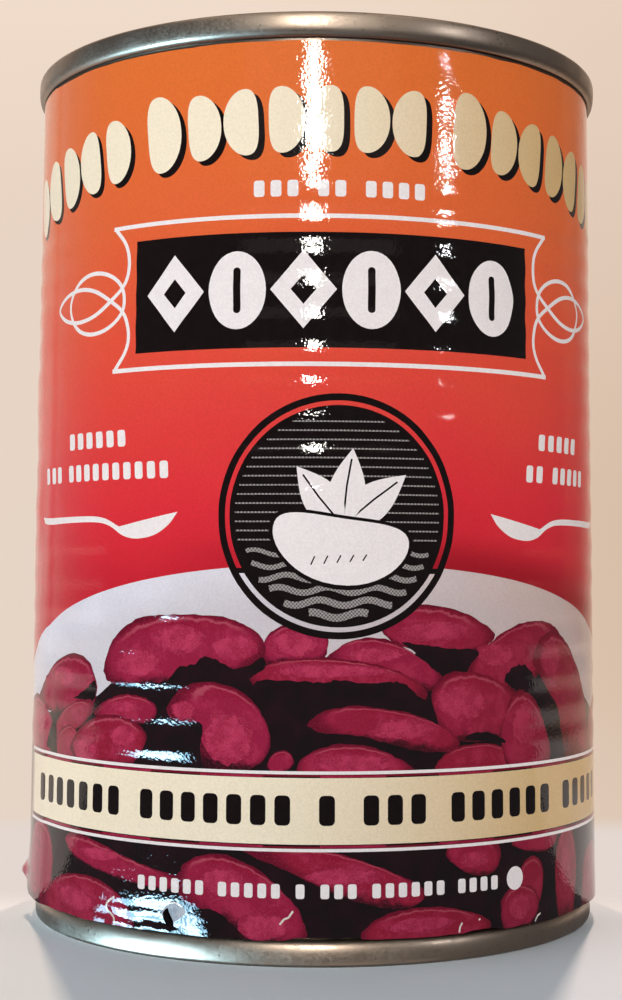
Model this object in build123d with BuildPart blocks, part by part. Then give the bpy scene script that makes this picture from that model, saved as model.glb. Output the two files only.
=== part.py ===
from build123d import *
import math
import os

# A shut 425 ml food tin with a paper label.  Millimetres, +Z up.
# The origin is on the axis, at the level the tin stands on; -Y is the front of the label.

# --- whole tin ---
height = 110.0
body_radius = 37.08

# --- double seams: the rolled rims that fasten the two ends ---
top_seam_radius = 38.05
bottom_seam_radius = 36.50      # smaller, so that it nests inside the top rim of another tin
seam_height = 3.0
seam_width = 1.45
seam_overhang = 0.97            # how far a seam stands out past the wall it holds
seam_round = 0.50
seam_inner_round = 0.40

# --- pressed ends ---
sheet = 0.22
panel_depth = 3.2               # the panel lies this far inside the rim's crest
groove_depth = 4.3              # bottom of the expansion groove round the panel
groove_width = 1.50
wall_lean = 0.25
bead_outer_inset = 7.0          # a shallow ring pressed into the panel
bead_width = 5.0
bead_drop = 0.45
bead_slope = 0.6
press_round = 0.40

# --- neck above the bottom seam ---
neck_rise = 1.0
neck_top = 6.8
neck_round = 1.2

# --- ribs rolled into the body wall ---
rib_pitch = 3.94
rib_depth = 0.36
rib_count = 18
first_rib = 20.1                # height of the lowest groove's middle

# --- paper label ---
paper = 0.12
label_bottom = 3.14
label_top = 106.65
lap_edge_angle = 184.0          # the free edge, at the left: from +X, anticlockwise seen from above
lap_width = 14.0

# --- the lap's loose lower corner ---
corner_width = 5.2
corner_height = 8.0
curl_radius = 32.0

label_radius = body_radius + paper
label_height = label_top - label_bottom
neck_radius = bottom_seam_radius - seam_overhang


def end_outline(seam_radius, crest, inward, gap):
    """Half section of an end, from its rim to the axis, lying gap under the face that shows."""
    wall = seam_radius - seam_width
    groove_outer = wall - wall_lean + gap
    groove_inner = wall - wall_lean - groove_width - gap
    panel_edge = groove_inner - wall_lean
    bead = wall - bead_outer_inset
    rim_base = crest + inward * seam_height / 2
    groove = crest + inward * (groove_depth + gap)
    panel = crest + inward * (panel_depth + gap)
    bead_floor = panel + inward * bead_drop
    return FilletPolyline(
        (wall + gap, rim_base),
        (groove_outer, groove),
        (groove_inner, groove),
        (panel_edge, panel),
        (bead, panel),
        (bead - bead_slope, bead_floor),
        (bead - bead_width, bead_floor),
        (bead - bead_width - bead_slope, panel),
        (0, panel),
        radius=press_round,
    )


def end_sheet(seam_radius, crest, inward):
    """The pressed sheet of an end, drawn between its outer and inner faces."""
    with BuildSketch() as section:
        with BuildLine():
            outer = end_outline(seam_radius, crest, inward, 0)
            inner = end_outline(seam_radius, crest, inward, sheet)
            Line(outer @ 0, inner @ 0)
            Line(outer @ 1, inner @ 1)
        make_face()
    return section.sketch


def seam_ring(seam_radius, crest, inward):
    """The rolled seam's section: a bar with rounded corners that stands on its crest."""
    base = crest + inward * seam_height
    inner_wall = seam_radius - seam_width
    with BuildSketch() as section:
        with BuildLine():
            Polyline((inner_wall, crest), (seam_radius, crest), (seam_radius, base),
                     (inner_wall, base), close=True)
        make_face()
        fillet(section.vertices().group_by(Axis.X)[-1], radius=seam_round)
        inner_corners = section.vertices().group_by(Axis.X)[0]
        fillet(inner_corners.sort_by(lambda corner: abs(corner.Y - crest))[0], radius=seam_inner_round)
    return section.sketch


def end_well(seam_radius, crest, inward):
    """The space an end takes out of the filled body, bounded by the end's inner face."""
    with BuildSketch() as section:
        with BuildLine():
            inner = end_outline(seam_radius, crest, inward, sheet)
            Polyline(inner @ 0, ((inner @ 0).X, crest), (0, crest), inner @ 1)
        make_face()
    return section.sketch


# --- body: the steel wall with its contents, solid to the ends that close it ---
rib_middle_radius = body_radius - rib_depth / 2
half_wave = rib_pitch / 2
first_turn = first_rib - half_wave / 2

with BuildPart() as can_body:
    with BuildSketch(Plane.XZ):
        with BuildLine():
            neck = FilletPolyline(
                (neck_radius, seam_height),
                (neck_radius, seam_height + neck_rise),
                (body_radius, neck_top),
                (body_radius, first_turn - half_wave / 2),
                radius=neck_round,
            )
            wall = TangentArc(neck @ 1, (rib_middle_radius, first_turn), tangent=(0, 1))
            for turn in range(1, 2 * rib_count):
                level = first_turn + turn * half_wave
                wall = TangentArc(wall @ 1, (rib_middle_radius, level), tangent=wall % 1)
            last_turn = (wall @ 1).Y
            wall = TangentArc(wall @ 1, (body_radius, last_turn + half_wave / 2), tangent=wall % 1)
            Polyline(wall @ 1, (body_radius, height - seam_height), (0, height - seam_height),
                     (0, seam_height), neck @ 0)
        make_face()
    revolve(axis=Axis.Z)
    with BuildSketch(Plane.XZ):
        add(end_well(top_seam_radius, height, -1))
        add(end_well(bottom_seam_radius, 0, 1))
    revolve(axis=Axis.Z, mode=Mode.SUBTRACT)

# --- ends: each is a pressed panel in one piece with its half of the rolled seam ---
with BuildPart() as top_end:
    with BuildSketch(Plane.XZ):
        add(end_sheet(top_seam_radius, height, -1))
        add(seam_ring(top_seam_radius, height, -1))
    revolve(axis=Axis.Z)

with BuildPart() as bottom_end:
    with BuildSketch(Plane.XZ):
        add(end_sheet(bottom_seam_radius, 0, 1))
        add(seam_ring(bottom_seam_radius, 0, 1))
    revolve(axis=Axis.Z)

# --- label: one wrap of paper whose end laps over its beginning ---
lap_angle = math.degrees(lap_width / label_radius)
corner_angle = math.degrees(corner_width / label_radius)
lift_off_angle = lap_edge_angle + corner_angle          # where the loose corner leaves the tin
curl_centre = Vector(label_radius + paper + curl_radius, 0).rotate(Axis.Z, lift_off_angle)
curl_turn = math.degrees(corner_width / curl_radius)


def paper_band(centre, inner_radius, start_angle, turn):
    """Section of a curved strip of the label's paper, seen from above."""
    with BuildSketch() as section:
        with BuildLine():
            inner = CenterArc(centre, inner_radius, start_angle, turn)
            outer = CenterArc(centre, inner_radius + paper, start_angle, turn)
            Line(inner @ 0, outer @ 0)
            Line(inner @ 1, outer @ 1)
        make_face()
    return section.sketch


with BuildPart() as paper_label:
    with BuildSketch(Plane.XY.offset(label_bottom)):
        Circle(label_radius)
        Circle(body_radius, mode=Mode.SUBTRACT)
        add(paper_band((0, 0), label_radius, lift_off_angle, lap_angle - corner_angle))
    extrude(amount=label_height)
    # the lap's free edge above the loose corner
    with BuildSketch(Plane.XY.offset(label_bottom + corner_height)):
        add(paper_band((0, 0), label_radius, lap_edge_angle, corner_angle))
    extrude(amount=label_height - corner_height)
    # the loose corner curls away from the tin
    with BuildSketch(Plane.XY.offset(label_bottom)):
        add(paper_band(curl_centre, curl_radius, lift_off_angle + 180, curl_turn))
    extrude(amount=corner_height)

os.makedirs("parts", exist_ok=True)

can_body.part.label = "can_body"
export_step(can_body.part, "parts/can_body.step")

top_end.part.label = "top_end"
export_step(top_end.part, "parts/top_end.step")

bottom_end.part.label = "bottom_end"
export_step(bottom_end.part, "parts/bottom_end.step")

paper_label.part.label = "paper_label"
export_step(paper_label.part, "parts/paper_label.step")
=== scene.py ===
import math
from collections import namedtuple

import bpy
import numpy as np
from bpy.props import FloatProperty, FloatVectorProperty, IntProperty, PointerProperty
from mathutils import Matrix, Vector
from mathutils.geometry import delaunay_2d_cdt


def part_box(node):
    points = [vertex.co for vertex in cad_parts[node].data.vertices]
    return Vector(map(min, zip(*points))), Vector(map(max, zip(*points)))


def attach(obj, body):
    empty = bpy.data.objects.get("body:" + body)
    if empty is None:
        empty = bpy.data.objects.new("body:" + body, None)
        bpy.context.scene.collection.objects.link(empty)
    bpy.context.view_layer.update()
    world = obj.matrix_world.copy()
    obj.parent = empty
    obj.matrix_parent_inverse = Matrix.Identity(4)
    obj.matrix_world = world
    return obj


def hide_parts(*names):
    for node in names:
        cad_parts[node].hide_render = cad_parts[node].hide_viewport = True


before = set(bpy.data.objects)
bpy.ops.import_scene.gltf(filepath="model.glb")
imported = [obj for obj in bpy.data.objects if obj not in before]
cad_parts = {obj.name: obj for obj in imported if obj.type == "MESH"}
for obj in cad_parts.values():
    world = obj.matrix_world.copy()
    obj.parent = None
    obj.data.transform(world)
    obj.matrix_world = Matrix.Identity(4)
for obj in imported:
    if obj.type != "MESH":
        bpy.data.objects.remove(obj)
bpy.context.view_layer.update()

bl_info = {
    "name": "Labelled food tin",
    "version": (1, 0, 0),
    "blender": (4, 5, 0),
    "location": "View3D > Sidebar > Tin",
    "description": "Finishes a shut food tin: rolled steel rims and a glossy printed paper label",
    "category": "Add Mesh",
}

MM = 0.001

# --- measures taken from the frame, in millimetres ---
WALL_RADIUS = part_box("can_body")[1].y / MM
LABEL_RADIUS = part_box("paper_label")[1].y / MM
LABEL_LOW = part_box("paper_label")[0].z / MM
LABEL_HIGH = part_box("paper_label")[1].z / MM
TIN_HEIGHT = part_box("top_end")[1].z / MM
TOP_RIM_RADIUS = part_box("top_end")[1].y / MM
BOTTOM_RIM_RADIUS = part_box("bottom_end")[1].y / MM
PAPER = LABEL_RADIUS - WALL_RADIUS
TURN = 2 * math.pi * LABEL_RADIUS                 # once round the label

# --- the flat print, in millimetres: x runs round the tin from its front line, y is the height ---
INKS = ("ground", "bowl", "shade", "bean", "worn", "white", "cream", "black", "screen", "red", "paper",
        "torn", "gap")
PICTURE_MIDDLE = 2.8                              # the picture's middle, right of the front line
FREE_EDGE = -math.radians(86) * LABEL_RADIUS      # the lap's free edge, on the left
BOWL_MIDDLE = 20.0                                # the bowl is the upper half of an oval
BOWL_HALF_WIDTH = 60.5
BOWL_HALF_HEIGHT = 25.3


def ink(red, green, blue):
    """A colour as a printer names it, 0 to 255, as the linear values the shaders take."""
    parts = [value / 255 for value in (red, green, blue)]
    return tuple(p / 12.92 if p <= 0.04045 else ((p + 0.055) / 1.055) ** 2.4 for p in parts)


# ---------------------------------------------------------------- settings

def length(name, description, default):
    """A size in metres."""
    return FloatProperty(name=name, description=description, default=default, unit="LENGTH",
                         precision=5)


def colour(name, description, default):
    """A colour of three linear values."""
    return FloatVectorProperty(name=name, description=description, default=default,
                               subtype="COLOR", size=3, min=0, max=1)


def share(name, description, default):
    """A number from 0 to 1."""
    return FloatProperty(name=name, description=description, default=default, min=0, max=1,
                         subtype="FACTOR")


class TinMetalSettings(bpy.types.PropertyGroup):
    segments: IntProperty(name="Segments", description="Faces round each rim", default=288, min=24)
    seam_height: length("Seam height", "How tall each rolled seam is", 0.0030)
    seam_width: length("Seam width", "Thickness of each rolled seam", 0.00145)
    panel_depth: length("Panel depth", "How far each end panel lies inside its rim", 0.0032)
    groove_depth: length("Groove depth", "Bottom of the groove round each panel", 0.0043)
    wobble: length("Wobble", "Unevenness left by the seaming rolls", 0.000025)
    steel: colour("Steel", "Colour of the dull tinplate", ink(194, 174, 156))
    roughness: share("Roughness", "How dull the tinplate is", 0.36)


class TinLabelSettings(bpy.types.PropertyGroup):
    ripple: length("Ripple", "How deep the wall's ribs show through the paper", 0.000085)
    rib_pitch: length("Rib pitch", "Distance from rib to rib", 0.00394)
    first_rib: length("First rib", "Height of the lowest groove", 0.0201)
    rib_count: IntProperty(name="Ribs", description="Grooves rolled into the wall", default=18, min=1)
    lap: length("Lap", "How far the label's end lies over its beginning", 0.014)
    corner_lift: length("Corner lift", "How far the lap's loose corner stands off", 0.0003)
    varnish: share("Varnish roughness", "How blurred reflections in the varnish are", 0.04)
    top: colour("Ground, top", "Ground colour at the top of the label", ink(221, 112, 50))
    middle: colour("Ground, middle", "Ground colour halfway down", ink(221, 67, 60))
    deep: colour("Ground, low", "Ground colour near the bowl", ink(138, 14, 30))
    bean: colour("Bean", "Main colour of the printed beans", ink(146, 27, 64))
    cream: colour("Cream", "The cream ink", ink(241, 231, 208))
    white: colour("White", "The white ink", ink(236, 232, 234))
    black: colour("Black", "The black ink", ink(16, 7, 8))


class TinStageSettings(bpy.types.PropertyGroup):
    view_distance: length("View distance", "From the tin's axis to the camera", 0.235)
    eye_height: length("Eye height", "Height of the camera above the floor", 0.0449)
    look_up: FloatProperty(name="Look up", description="Upward tilt of the camera",
                           default=math.radians(5.525), subtype="ANGLE")
    look_right: FloatProperty(name="Look right", description="Turn of the camera to the right",
                              default=math.radians(-0.134), subtype="ANGLE")
    roll: FloatProperty(name="Roll", description="Anticlockwise roll of the camera",
                        default=math.radians(0.286), subtype="ANGLE")
    lens: FloatProperty(name="Lens", description="Focal length", default=62.0,
                        subtype="DISTANCE_CAMERA")
    rise: FloatProperty(name="Rise", description="Vertical shift of the lens", default=-0.10)
    backdrop: colour("Backdrop", "Colour of the wall behind", ink(230, 212, 197))
    floor: colour("Floor", "Colour of the floor", ink(204, 214, 222))


# ---------------------------------------------------------------- node helpers

def add_node(tree, kind, **settings):
    """A node with its settings; a key that names an input socket sets that socket's value."""
    node = tree.nodes.new(kind)
    for key, value in settings.items():
        if hasattr(node, key):
            setattr(node, key, value)
        else:
            node.inputs[key].default_value = value
    return node


def put(tree, source, target):
    """Joins an output to an input, or sets the input when the source is a plain value."""
    if isinstance(source, bpy.types.NodeSocket):
        tree.links.new(source, target)
    else:
        target.default_value = source


def maths(tree, operation, *values):
    """One Math node on two or three values, each a socket or a number."""
    node = add_node(tree, "ShaderNodeMath", operation=operation)
    for socket, value in zip(node.inputs, values):
        put(tree, value, socket)
    return node.outputs[0]


def blend(tree, factor, first, second, kind="MIX"):
    """A colour mix; each value is a socket or a colour of three numbers."""
    node = add_node(tree, "ShaderNodeMix", data_type="RGBA", blend_type=kind)
    put(tree, factor, node.inputs["Factor"])
    for name, value in (("A", first), ("B", second)):
        socket = next(s for s in node.inputs if s.name == name and s.type == "RGBA")
        put(tree, value if isinstance(value, bpy.types.NodeSocket) else (*value, 1), socket)
    return next(s for s in node.outputs if s.type == "RGBA")


def fade(tree, value, start, end, low=0.0, high=1.0):
    """A smooth step of value from low at start to high at end."""
    node = add_node(tree, "ShaderNodeMapRange", interpolation_type="SMOOTHSTEP")
    for socket, number in zip(node.inputs, (value, start, end, low, high)):
        put(tree, number, socket)
    return node.outputs[0]


def noise(tree, vector, scale, detail=2.0, roughness=0.5):
    """Soft noise from 0 to 1 at a place."""
    node = add_node(tree, "ShaderNodeTexNoise", Scale=scale, Detail=detail, Roughness=roughness)
    put(tree, vector, node.inputs["Vector"])
    return node.outputs["Fac"]


def split_xyz(tree, vector):
    """The three parts of a vector, as outputs named X, Y and Z."""
    node = add_node(tree, "ShaderNodeSeparateXYZ")
    put(tree, vector, node.inputs[0])
    return node.outputs


def join_xyz(tree, x=0.0, y=0.0, z=0.0):
    """A vector of three values."""
    node = add_node(tree, "ShaderNodeCombineXYZ")
    for socket, value in zip(node.inputs, (x, y, z)):
        put(tree, value, socket)
    return node.outputs[0]


def far_out(tree, x, y):
    """How far a flat place lies from its origin."""
    return maths(tree, "SQRT", maths(tree, "ADD", maths(tree, "MULTIPLY", x, x),
                                     maths(tree, "MULTIPLY", y, y)))


def object_place(tree):
    """Where a point lies in the tin's own frame."""
    return add_node(tree, "ShaderNodeTexCoord").outputs["Object"]


def node_group(name, kind, inputs, outputs):
    """An empty node group with named sockets; returns it with its input and output nodes."""
    group = bpy.data.node_groups.new(name, kind)
    for label, socket, default in inputs:
        item = group.interface.new_socket(label, in_out="INPUT", socket_type=socket)
        if default is not None:
            item.default_value = default
    for label, socket in outputs:
        group.interface.new_socket(label, in_out="OUTPUT", socket_type=socket)
    return group, group.nodes.new("NodeGroupInput"), group.nodes.new("NodeGroupOutput")


def use_group(tree, name, **values):
    """Places a shared shader group; a key names an input socket, with _ for a space."""
    node = tree.nodes.new("ShaderNodeGroup")
    node.node_tree = bpy.data.node_groups[name]
    for key, value in values.items():
        put(tree, value, node.inputs[key.replace("_", " ")])
    return node


# ---------------------------------------------------------------- shared shader groups

def build_varnish_group():
    """Varnished label paper: a fine orange-peel skin, faint dimples and a little uneven gloss."""
    group, given, result = node_group(
        "Varnished paper", "ShaderNodeTree",
        [("Gloss", "NodeSocketFloat", 0.1), ("Relief", "NodeSocketFloat", 1.0)],
        [("Roughness", "NodeSocketFloat"), ("Normal", "NodeSocketVector"), ("Grain", "NodeSocketFloat")])
    place = object_place(group)
    peel = noise(group, place, 2900.0, 0.8, 0.5)
    dimples = noise(group, place, 520.0, 2.0)
    waves = noise(group, place, 110.0, 1.0)
    height = maths(group, "MULTIPLY_ADD", dimples, 0.9, peel)
    height = maths(group, "MULTIPLY_ADD", waves, 1.6, height)
    bump = add_node(group, "ShaderNodeBump", Distance=0.0000165)
    put(group, height, bump.inputs["Height"])
    put(group, given.outputs["Relief"], bump.inputs["Strength"])
    smear = noise(group, place, 45.0, 3.0)
    rough = maths(group, "MULTIPLY", given.outputs["Gloss"], fade(group, smear, 0.25, 0.75, 0.8, 1.35))
    put(group, rough, result.inputs["Roughness"])
    put(group, bump.outputs["Normal"], result.inputs["Normal"])
    put(group, noise(group, place, 3800.0, 2.0, 0.7), result.inputs["Grain"])


def build_tinplate_group():
    """Dull tinplate: rolling grain, soft stains, fine pits that sparkle, and painted shade under the top
    seam.
    """
    group, given, result = node_group(
        "Dull tinplate", "ShaderNodeTree",
        [("Steel", "NodeSocketColor", (0.5, 0.5, 0.5, 1)), ("Dullness", "NodeSocketFloat", 0.3),
         ("Seam foot", "NodeSocketFloat", 1.0)],
        [("Color", "NodeSocketColor"), ("Roughness", "NodeSocketFloat"), ("Normal", "NodeSocketVector")])
    place = object_place(group)
    stains = noise(group, place, 140.0, 4.0, 0.6)
    grains = noise(group, place, 3200.0, 2.0, 0.6)
    pits = noise(group, place, 1500.0, 3.0, 0.7)
    dark = blend(group, fade(group, stains, 0.3, 0.7, 0.0, 0.35), given.outputs["Steel"], (0.22, 0.19, 0.17))
    spots = fade(group, pits, 0.62, 0.72, 0.0, 0.55)
    # painted shade: the steel darkens within about a millimetre of the top seam's foot, where seam and label
    # meet
    above = maths(group, "SUBTRACT", split_xyz(group, place)["Z"], given.outputs["Seam foot"])
    near = fade(group, maths(group, "ABSOLUTE", above), 0.0012, 0.0003)
    marked = blend(group, spots, dark, (0.10, 0.085, 0.075))
    put(group, blend(group, maths(group, "MULTIPLY", near, 0.40), marked, (0.05, 0.04, 0.035)),
        result.inputs["Color"])
    rough = maths(group, "ADD", given.outputs["Dullness"], fade(group, stains, 0.3, 0.75, -0.04, 0.10))
    put(group, maths(group, "ADD", rough, fade(group, grains, 0.3, 0.7, -0.05, 0.05)),
        result.inputs["Roughness"])
    height = maths(group, "SUBTRACT", maths(group, "MULTIPLY_ADD", grains, 0.5, stains),
                   maths(group, "MULTIPLY", spots, 0.5))
    bump = add_node(group, "ShaderNodeBump", Distance=0.000012, Strength=0.8)
    put(group, height, bump.inputs["Height"])
    put(group, bump.outputs["Normal"], result.inputs["Normal"])


# ---------------------------------------------------------------- materials

def new_material(name):
    """A material with its node tree and its Principled surface."""
    material = bpy.data.materials.new(name)
    material.use_nodes = True
    tree = material.node_tree
    return material, tree, tree.nodes["Principled BSDF"]


def make_tinplate(name, settings, shade=1.0):
    """Dull tinplate with its grain, stains and pits; a shade below 1 darkens it as painted shade."""
    material, tree, surface = new_material(name)
    plate = use_group(tree, "Dull tinplate",
                      Steel=(*[part * shade for part in settings.steel], 1),
                      Dullness=settings.roughness, Seam_foot=TIN_HEIGHT * MM - settings.seam_height)
    for output in ("Roughness", "Normal"):
        put(tree, plate.outputs[output], surface.inputs[output])
    put(tree, plate.outputs["Color"], surface.inputs["Base Color"])
    surface.inputs["Metallic"].default_value = 1.0
    return material


def uv_place(tree, layer):
    """A point's place in one of the label's UV maps: Sheet, the flat label, or Mark, its own mark."""
    return add_node(tree, "ShaderNodeUVMap", uv_map=layer).outputs["UV"]


def sheet_place(tree):
    """Where a point lies on the flat label, in millimetres: x round the tin, y its height."""
    parts = split_xyz(tree, uv_place(tree, "Sheet"))
    return parts["X"], parts["Y"]


def finish_print(material, tree, surface, tone, settings, relief=1.0, gloss=1.0):
    """Lays the varnish over a printed colour, with the ink's fine grain."""
    skin = use_group(tree, "Varnished paper", Gloss=settings.varnish * gloss, Relief=relief)
    grain = fade(tree, skin.outputs["Grain"], 0.3, 0.7, 0.0, 1.0)
    speckle = blend(tree, grain, (0.945, 0.945, 0.945), (1.045, 1.045, 1.045))
    put(tree, blend(tree, 1.0, tone, speckle, "MULTIPLY"), surface.inputs["Base Color"])
    put(tree, skin.outputs["Roughness"], surface.inputs["Roughness"])
    put(tree, skin.outputs["Normal"], surface.inputs["Normal"])
    surface.inputs["IOR"].default_value = 1.5
    return material


def picture_offset(tree, across):
    """Distance from the nearer picture's middle: the label carries the picture twice."""
    half = TURN / 2
    moved = maths(tree, "ADD", maths(tree, "SUBTRACT", across, PICTURE_MIDDLE), half / 2)
    return maths(tree, "SUBTRACT", maths(tree, "FLOORED_MODULO", moved, half), half / 2)


def to_right(tree, offset, start, end, amount=1.0):
    """Grows from a picture's left to its right, and falls back to nothing where the next one begins."""
    return maths(tree, "MULTIPLY", fade(tree, offset, start, end, 0.0, amount),
                 fade(tree, offset, 58.0, 47.0))


def bowl_reach(tree, across, up):
    """1 on the bowl's outer rim, less inside it and more outside."""
    offset = picture_offset(tree, across)
    wide = maths(tree, "DIVIDE", offset, BOWL_HALF_WIDTH)
    high = maths(tree, "DIVIDE", maths(tree, "SUBTRACT", up, BOWL_MIDDLE), BOWL_HALF_HEIGHT)
    return far_out(tree, wide, maths(tree, "MAXIMUM", high, 0.0))


def ramp(tree, value, start, end, tones):
    """A run of evenly spaced tones as value goes from start to end."""
    node = add_node(tree, "ShaderNodeValToRGB")
    put(tree, maths(tree, "DIVIDE", maths(tree, "SUBTRACT", value, start), end - start), node.inputs[0])
    stops = node.color_ramp.elements
    while len(stops) < len(tones):
        stops.new(0.5)
    for number, tone in enumerate(tones):
        stops[number].position = number / (len(tones) - 1)
        stops[number].color = (*tone, 1)
    return node.outputs["Color"]


def make_ground_ink(settings):
    """The label's ground: orange at the top, through red, to dark red round the bowl, with a painted
    reflection on its left.
    """
    material, tree, surface = new_material("ground_ink")
    across, up = sheet_place(tree)
    drift = noise(tree, uv_place(tree, "Sheet"), 0.05, 2.0)
    level = maths(tree, "ADD", up, fade(tree, drift, 0.3, 0.7, -2.0, 2.0))
    tone = ramp(tree, level, 42.0, 106.0, (
        ink(198, 32, 50), ink(216, 46, 58), settings.middle, ink(223, 82, 58), ink(222, 100, 56),
        ink(222, 108, 52), settings.top))
    offset = picture_offset(tree, across)
    # painted reflection: a pale haze towards each picture's left, for the bright room reflected near the
    # tin's left limb
    painted_haze = maths(tree, "MULTIPLY", fade(tree, offset, -28.0, -46.0, 0.0, 0.10),
                 fade(tree, offset, -58.0, -50.0))
    tone = blend(tree, painted_haze, tone, ink(236, 170, 170))
    reach = bowl_reach(tree, across, up)
    near_bowl = maths(tree, "ADD", to_right(tree, offset, -26.0, 18.0, 0.66), 0.08)
    deep = maths(tree, "MULTIPLY", fade(tree, reach, 1.20, 1.01), near_bowl)
    tone = blend(tree, deep, tone, settings.deep)
    return finish_print(material, tree, surface, tone, settings)


def make_bowl_ink(settings):
    """The pale bowl: cool and light on its left, greyer on its right in painted shade, and greyer towards
    the beans.
    """
    material, tree, surface = new_material("bowl_ink")
    across, up = sheet_place(tree)
    offset = picture_offset(tree, across)
    # painted shade: the bowl greys towards each picture's right, where the light falls off
    tone = blend(tree, to_right(tree, offset, -35.0, 40.0), ink(222, 224, 238), ink(198, 174, 168))
    reach = bowl_reach(tree, across, up)
    tone = blend(tree, fade(tree, reach, 0.97, 0.80, 0.0, 0.35), tone, ink(176, 168, 172))
    cloud = noise(tree, uv_place(tree, "Sheet"), 0.16, 3.0)
    tone = blend(tree, fade(tree, cloud, 0.35, 0.7, 0.0, 0.22), tone, ink(190, 188, 196))
    return finish_print(material, tree, surface, tone, settings)


def side_shade(tree, tone):
    """The painted light falls off a little towards each picture's right side."""
    offset = picture_offset(tree, sheet_place(tree)[0])
    return blend(tree, to_right(tree, offset, -4.0, 38.0, 0.42), tone, ink(112, 22, 30))


def make_bean_ink(settings):
    """A painted bean: dark outline, crimson flesh with lighter strokes, and shade below."""
    material, tree, surface = new_material("bean_ink")
    flat = uv_place(tree, "Sheet")
    mark = split_xyz(tree, uv_place(tree, "Mark"))
    along, over = mark["X"], mark["Y"]
    tint = add_node(tree, "ShaderNodeAttribute", attribute_name="tint").outputs["Fac"]
    broad = noise(tree, flat, 0.28, 4.0, 0.7)
    ragged = noise(tree, flat, 0.75, 4.0, 0.65)
    fine = noise(tree, flat, 4.5, 2.0, 0.6)
    rag = maths(tree, "MULTIPLY_ADD", ragged, 0.7, -0.35)
    over = maths(tree, "ADD", over, maths(tree, "MULTIPLY", rag, 0.45))
    radius = far_out(tree, along, over)
    tone = blend(tree, tint, settings.bean, ink(140, 24, 52))
    strokes = maths(tree, "MULTIPLY", fade(tree, broad, 0.46, 0.60), fade(tree, radius, 0.95, 0.70))
    tone = blend(tree, maths(tree, "MULTIPLY", strokes, 0.7), tone, ink(166, 44, 78))
    tone = blend(tree, fade(tree, over, 0.40, 0.70, 0.0, 0.55), tone, ink(136, 14, 46))
    glint = maths(tree, "MULTIPLY", fade(tree, radius, 0.78, 0.83), fade(tree, radius, 0.90, 0.85))
    glint = maths(tree, "MULTIPLY", glint, fade(tree, over, 0.30, 0.70, 0.0, 0.35))
    tone = blend(tree, glint, tone, ink(206, 110, 130))
    tone = blend(tree, fade(tree, radius, 0.84, 1.0, 0.0, 0.85), tone, ink(88, 8, 32))
    below = maths(tree, "MULTIPLY_ADD", rag, 0.7, over)
    tone = blend(tree, fade(tree, below, -0.60, -0.95, 0.0, 0.9), tone, ink(34, 10, 18))
    tone = blend(tree, fade(tree, fine, 0.48, 0.8, 0.0, 0.16), tone, ink(196, 92, 122))
    return finish_print(material, tree, surface, side_shade(tree, tone), settings)


def make_worn_ink(settings):
    """The paler strokes on the painted beans, thinning out towards their edges."""
    material, tree, surface = new_material("worn_ink")
    flat = uv_place(tree, "Sheet")
    lay = noise(tree, flat, 0.5, 4.0, 0.7)
    fine = noise(tree, flat, 5.0, 2.0, 0.6)
    mark = split_xyz(tree, uv_place(tree, "Mark"))
    rag = maths(tree, "MULTIPLY_ADD", noise(tree, flat, 1.1, 4.0, 0.7), 1.3, -0.65)
    inside = fade(tree, maths(tree, "ADD", far_out(tree, mark["X"], mark["Y"]), rag), 0.98, 0.72)
    stroke = blend(tree, fade(tree, lay, 0.38, 0.62), ink(180, 52, 88), ink(156, 36, 70))
    tone = blend(tree, inside, ink(146, 27, 62), stroke)
    tone = blend(tree, fade(tree, fine, 0.46, 0.8, 0.0, 0.3), tone, ink(208, 112, 138))
    return finish_print(material, tree, surface, side_shade(tree, tone), settings)


def make_flat_ink(name, tone, stain, settings, scale=0.9, strength=0.10, relief=1.0, gloss=1.0):
    """An even ink with a faint uneven lay."""
    material, tree, surface = new_material(name)
    lay = noise(tree, uv_place(tree, "Sheet"), scale, 3.0)
    mixed = blend(tree, fade(tree, lay, 0.35, 0.7, 0.0, strength), tone, stain)
    return finish_print(material, tree, surface, mixed, settings, relief, gloss)


def make_cream_ink(settings):
    """Cream that turns warmer and darker from left to right across each picture, in painted shade."""
    material, tree, surface = new_material("cream_ink")
    offset = picture_offset(tree, sheet_place(tree)[0])
    # painted shade: the cream darkens towards each picture's right, where the light falls off
    tone = blend(tree, to_right(tree, offset, -14.0, 36.0), settings.cream, ink(208, 176, 124))
    return finish_print(material, tree, surface, tone, settings)


def make_screen_ink(settings):
    """Grey made of fine dots on black, as a coarse printing screen gives."""
    material, tree, surface = new_material("screen_ink")
    across, up = sheet_place(tree)
    dot_pitch = 0.42
    turns = 2 * math.pi / dot_pitch
    dots = maths(tree, "MULTIPLY", maths(tree, "SINE", maths(tree, "MULTIPLY", across, turns)),
                 maths(tree, "SINE", maths(tree, "MULTIPLY", up, turns)))
    tone = blend(tree, fade(tree, dots, -0.4, 0.4), ink(88, 84, 84), ink(168, 164, 164))
    return finish_print(material, tree, surface, tone, settings)


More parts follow.
